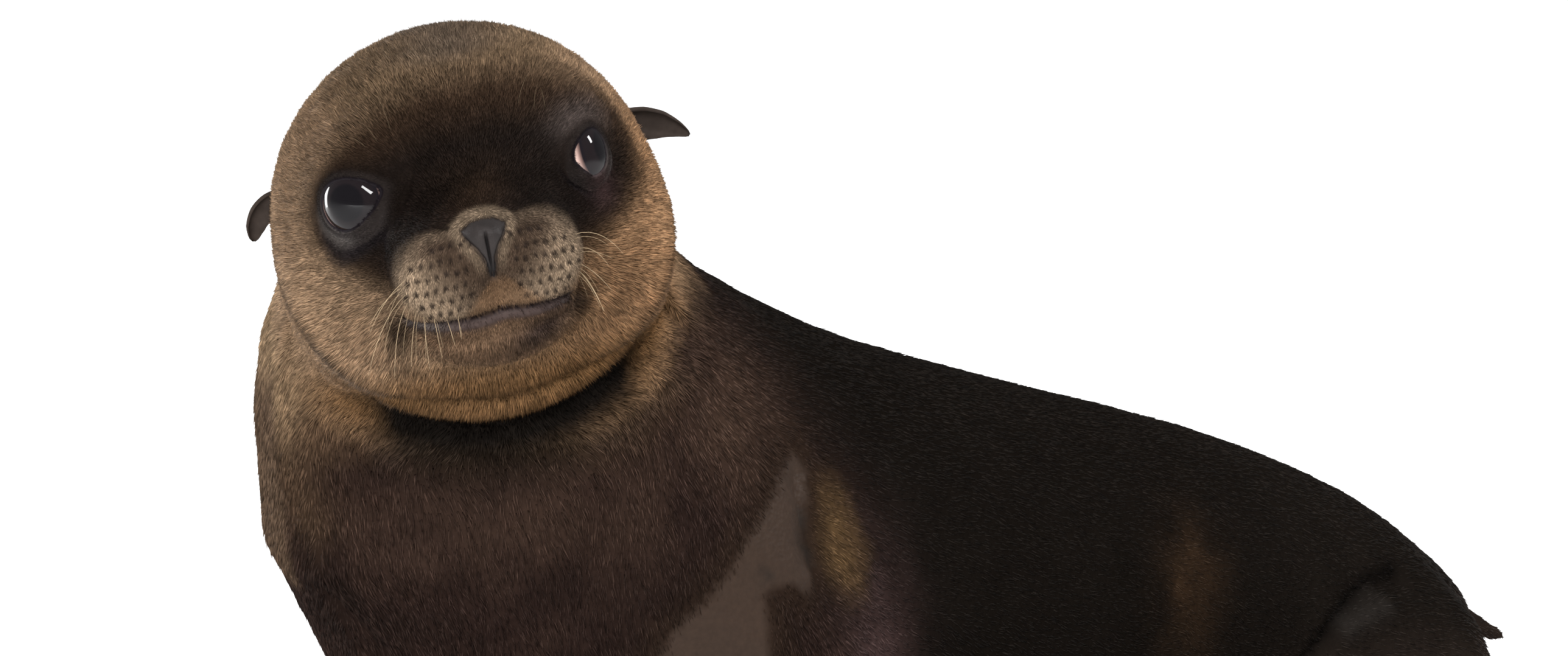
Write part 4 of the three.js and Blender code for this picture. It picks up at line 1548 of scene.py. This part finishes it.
def hair_nodes():
    """Geometry nodes that give each path a round, tapered, closed hair."""
    tree = bpy.data.node_groups.new("hairs", "GeometryNodeTree")
    kinds = {"Paths": "Geometry", "Thickness": "Float", "Sides": "Int", "Material": "Material"}
    sockets = {
        name: tree.interface.new_socket(name, in_out="INPUT", socket_type="NodeSocket" + kind)
        for name, kind in kinds.items()
    }
    tree.interface.new_socket("Hairs", in_out="OUTPUT", socket_type="NodeSocketGeometry")
    nodes = (
        ("start", "NodeGroupInput", {}),
        ("curve", "GeometryNodeMeshToCurve", {}),
        ("radius", "GeometryNodeInputNamedAttribute", {"Name": "radius_at"}),
        ("thick", "ShaderNodeMath", {"operation": "MULTIPLY"}),
        ("ring", "GeometryNodeCurvePrimitiveCircle", {"Radius": 1.0}),
        ("sweep", "GeometryNodeCurveToMesh", {"Fill Caps": True}),
        ("real", "GeometryNodeRealizeInstances", {}),
        ("finish", "GeometryNodeSetMaterial", {}),
        ("end", "NodeGroupOutput", {}),
    )
    links = (
        ("start", "Paths", "curve", "Mesh"), ("curve", "Curve", "sweep", "Curve"),
        ("radius", "Attribute", "thick", 0), ("start", "Thickness", "thick", 1),
        ("thick", "Value", "sweep", "Scale"), ("start", "Sides", "ring", "Resolution"),
        ("ring", "Curve", "sweep", "Profile Curve"), ("sweep", "Mesh", "real", "Geometry"),
        ("real", "Geometry", "finish", "Geometry"), ("start", "Material", "finish", "Material"),
        ("finish", "Geometry", "end", "Hairs"),
    )
    wired(tree, {}, nodes, links)
    return tree, sockets


def whisker_mesh(side, tree, looks, material):
    """All whiskers of one side in one plain mesh."""
    paths = object_of("whisker_paths", whisker_paths(side, tree, looks))
    modifier = paths.modifiers.new("hairs", "NODES")
    modifier.node_group, sockets = hair_nodes()
    modifier[sockets["Thickness"].identifier] = looks.thickness
    modifier[sockets["Sides"].identifier] = looks.sides
    modifier[sockets["Material"].identifier] = material
    made = paths.evaluated_get(bpy.context.evaluated_depsgraph_get())
    mesh = bpy.data.meshes.new_from_object(made)
    paths.modifiers.clear()
    bpy.data.objects.remove(paths)
    form = bmesh.new()
    form.from_mesh(mesh)
    bmesh.ops.recalc_face_normals(form, faces=form.faces)
    form.to_mesh(mesh)
    form.free()
    mesh.shade_smooth()
    return mesh


def eyeball_mesh(name, side, outward):
    """An eyeball with a raised cornea, and the degrees from its gaze on its points."""
    form = bmesh.new()
    bmesh.ops.create_uvsphere(form, u_segments=96, v_segments=64, radius=EYE_RADIUS / 1000)
    mesh = mesh_from(form, name)
    points = read(mesh)[0]
    centre, gaze, _ = eye_frame(side, outward)
    gaze = HEAD_AXES @ unit(gaze + (0, 0, 0.08))
    off_gaze = np.degrees(np.arccos(np.clip(unit(points) @ gaze, -1, 1)))
    cornea = 1 + CORNEA_RISE * fall(off_gaze, 24, 44)
    write(mesh, points * cornea[:, None] + from_head(centre))
    paint(mesh, "gaze", off_gaze / 90)
    mesh.shade_smooth()
    return mesh


# ---- operators ----


class SEALION_OT_skin(bpy.types.Operator):
    """Build the one skin over all nodes of flesh"""

    bl_idname = "sealion.skin"
    bl_label = "Skin"

    def execute(self, context):
        mesh = skin_mesh(context.scene.sealion_skin)
        piece = object_of("skin", mesh)
        points = read(mesh)[0]
        bare = bareness(points, in_head(points))
        tone = markings(points, palette_of(context.scene))
        paint(mesh, "tint", tone * (SKIN_TONE + (1 - SKIN_TONE) * bare)[:, None])
        paint(mesh, "bare", bare)
        mesh.materials.clear()
        mesh.materials.append(skin_material())
        finished(piece, "golden_fur", *FLESH)
        return {"FINISHED"}


class SEALION_OT_eyes(bpy.types.Operator):
    """Set the two eyes in their lids"""

    bl_idname = "sealion.eyes"
    bl_label = "Eyes"

    def execute(self, context):
        looks = context.scene.sealion_eyes
        material = eye_material(looks)
        for side, word in SIDES.items():
            name = "eyeball_" + word
            mesh = eyeball_mesh(name, side, getattr(looks, word + "_gaze"))
            mesh.materials.append(material)
            finished(object_of(name, mesh), "eye", "eye_" + word)
        return {"FINISHED"}


class SEALION_OT_nose(bpy.types.Operator):
    """Set the bare nose pad on the muzzle"""

    bl_idname = "sealion.nose"
    bl_label = "Nose"

    def execute(self, context):
        mesh = nose_mesh(surface_tree(bpy.data.objects["skin"]))
        trim = context.scene.sealion_trim
        mesh.materials.append(leather_material("nose", trim.nose, trim.nose_groove_shade))
        finished(object_of("nose_pad", mesh), "nose_pad", "nose")
        return {"FINISHED"}


class SEALION_OT_ears(bpy.types.Operator):
    """Hang the two furled ears"""

    bl_idname = "sealion.ears"
    bl_label = "Ears"

    def execute(self, context):
        for side, word in SIDES.items():
            mesh = ear_mesh(side)
            points = read(mesh)[0]
            tone = np.tile(context.scene.sealion_trim.ears, (len(points), 1))
            paint(mesh, "tint", tone * (1 + 0.2 * mottle(points, 0.004, 8))[:, None])
            mesh.materials.append(fur_material("ear_" + word, 0.6, 0.3)[0])
            finished(object_of("furled_ear_" + word, mesh), "dark_fur", "ear_" + word)
        return {"FINISHED"}


class SEALION_OT_coat(bpy.types.Operator):
    """Cover the skin with tufts that follow the lie of the coat"""

    bl_idname = "sealion.coat"
    bl_label = "Coat"

    def execute(self, context):
        skin = bpy.data.objects["skin"].data
        skin.calc_loop_triangles()
        triangles = np.empty(len(skin.loop_triangles) * 3, np.int32)
        skin.loop_triangles.foreach_get("vertices", triangles)
        triangles = triangles.reshape(-1, 3)
        middle = read(skin)[0][triangles].mean(1)
        region = coat_regions(middle)
        covered = bareness(middle, in_head(middle)) < MOST_BARE
        sizes, palette = context.scene.sealion_coat, palette_of(context.scene)
        for number, (name, (_, slot)) in enumerate(COATS.items()):
            own = triangles[(region == name) & covered]
            mesh = tufts(name, skin, own, sizes, palette, 100 + number)
            mesh.materials.append(fur_material(name, 0.55, 0.12)[0])
            finished(object_of(name, mesh), slot)
        return {"FINISHED"}


class SEALION_OT_whiskers(bpy.types.Operator):
    """Grow the whiskers from the muzzle and the brows"""

    bl_idname = "sealion.whiskers"
    bl_label = "Whiskers"

    def execute(self, context):
        tree = surface_tree(bpy.data.objects["skin"])
        for side, word in SIDES.items():
            material = fur_material("whisker_" + word, 0.4, 0.05)[0]
            mesh = whisker_mesh(side, tree, context.scene.sealion_hair, material)
            finished(object_of("whiskers_" + word, mesh), "horn")
        return {"FINISHED"}


class SEALION_OT_claws(bpy.types.Operator):
    """Give the claws their horn"""

    bl_idname = "sealion.claws"
    bl_label = "Claws"

    def execute(self, context):
        trim = context.scene.sealion_trim
        horn = horn_material("claw", trim.claw_pale, trim.claw_dark)
        for name, node in NODES.items():
            if name.startswith("claw_"):
                node.data.materials.clear()
                node.data.materials.append(horn)
        return {"FINISHED"}


# Where the camera stands, and what it and the lights are turned to, in metres.
CAMERA_AT = (1.53554, -1.51828, 0.6629)
CAMERA_AIM = (0.09971, -0.17934, 0.28128)
LIGHTS_AIM = (0, -0.15, 0.25)
# How bright the floor and the sky are to all else, and as the camera sees them.
FLOOR_GLOW = (0.10, 0.75)
SKY_GLOW = (0.34, 1.0)
WHITE = (1, 1, 1, 1)
# Each light's name, place, two sizes, roll in degrees, power, and whether the eyes mirror it.
LIGHTS = (
    ("key light", (1.37, -1.17, 1.39), 1.1, 0.24, -36, 34, True),
    ("side light", (1.19, 0.81, 1.46), 0.3, 0.55, 0, 22, True),
    ("left light", (-1.20, -0.50, 0.20), 0.32, 0.7, 0, 8, True),
    ("front light", (0.9, -2.3, 0.5), 1.5, 0.9, 0, 44, False),
    ("top light", (-0.1, -0.5, 2.3), 1.6, 1.2, 0, 14, False),
    ("back light", (-1.2, 0.9, 1.7), 1.2, 0.8, 0, 16, False),
)


def seen_more(tree, node, socket, to_others, to_camera):
    """Gives a node's socket one value for what the camera sees and another for other rays."""
    nodes = (
        ("path", "ShaderNodeLightPath", {}),
        ("value", "ShaderNodeMapRange", {"To Min": to_others, "To Max": to_camera}),
    )
    links = (("path", "Is Camera Ray", "value", "Value"), ("value", "Result", "node", socket))
    wired(tree, {"node": node}, nodes, links)


def aimed(place, aim):
    """The turn of a camera or a light at a place towards an aim."""
    return (Vector(aim) - Vector(place)).to_track_quat("-Z", "Y")


class SEALION_OT_stage(bpy.types.Operator):
    """Lay the floor, set the lights and the camera"""

    bl_idname = "sealion.stage"
    bl_label = "Stage"

    def execute(self, context):
        scene = context.scene
        looks = scene.sealion_stage
        camera = object_of("camera", bpy.data.cameras.new("camera"))
        camera.location = CAMERA_AT
        camera.rotation_euler = aimed(CAMERA_AT, CAMERA_AIM).to_euler()
        camera.data.lens = looks.lens
        scene.camera = camera
        bpy.ops.mesh.primitive_plane_add(size=looks.floor_size)
        floor = context.object
        floor.name = "floor"
        material, made = new_material("floor", {
            "Base Color": (*looks.floor_colour, 1), "Roughness": 0.9, "Specular IOR Level": 0.0,
            "Emission Color": WHITE,
        })
        seen_more(material.node_tree, made["shader"], "Emission Strength", *FLOOR_GLOW)
        floor.data.materials.append(material)
        world = bpy.data.worlds.new("studio")
        world.use_nodes = True
        sky = world.node_tree.nodes["Background"]
        sky.inputs["Color"].default_value = WHITE
        seen_more(world.node_tree, sky, "Strength", *SKY_GLOW)
        scene.world = world
        for name, place, size, height, roll, power, mirrored in LIGHTS:
            light = object_of(name, bpy.data.lights.new(name, "AREA"))
            light.data.shape = "RECTANGLE"
            light.data.size = size
            light.data.size_y = height
            light.data.energy = power * looks.brightness
            light.location = place
            turned = aimed(place, LIGHTS_AIM) @ Quaternion((0, 0, 1), math.radians(roll))
            light.rotation_euler = turned.to_euler()
            light.visible_glossy = mirrored
        scene.view_settings.view_transform = "Standard"
        return {"FINISHED"}


class SEALION_PT_panel(bpy.types.Panel):
    """Lists the pieces and their sizes and colours"""

    bl_idname = "SEALION_PT_panel"
    bl_label = "Sea lion"
    bl_space_type = "VIEW_3D"
    bl_region_type = "UI"
    bl_category = "Sea lion"

    def draw(self, context):
        column = self.layout.column(align=True)
        for operator in OPERATORS:
            column.operator(operator.bl_idname)
        for place, group in SETTINGS.items():
            box = self.layout.box()
            box.label(text=group.__doc__)
            for name in group.__annotations__:
                box.prop(getattr(context.scene, place), name)


OPERATORS = (
    SEALION_OT_stage, SEALION_OT_skin, SEALION_OT_eyes, SEALION_OT_nose, SEALION_OT_ears,
    SEALION_OT_coat, SEALION_OT_whiskers, SEALION_OT_claws,
)
CLASSES = (*SETTINGS.values(), *OPERATORS, SEALION_PT_panel)


def register():
    """Makes the classes and their settings known to the scene."""
    for part in CLASSES:
        bpy.utils.register_class(part)
    for place, group in SETTINGS.items():
        setattr(bpy.types.Scene, place, PointerProperty(type=group))


def unregister():
    """Takes the classes and their settings away again."""
    for place in SETTINGS:
        delattr(bpy.types.Scene, place)
    for part in reversed(CLASSES):
        bpy.utils.unregister_class(part)


def main():
    """Builds every piece."""
    register()
    bpy.ops.sealion.stage()
    bpy.ops.sealion.skin()
    bpy.ops.sealion.eyes()
    bpy.ops.sealion.nose()
    bpy.ops.sealion.ears()
    bpy.ops.sealion.coat()
    bpy.ops.sealion.whiskers()
    bpy.ops.sealion.claws()


if __name__ == "__main__":
    main()
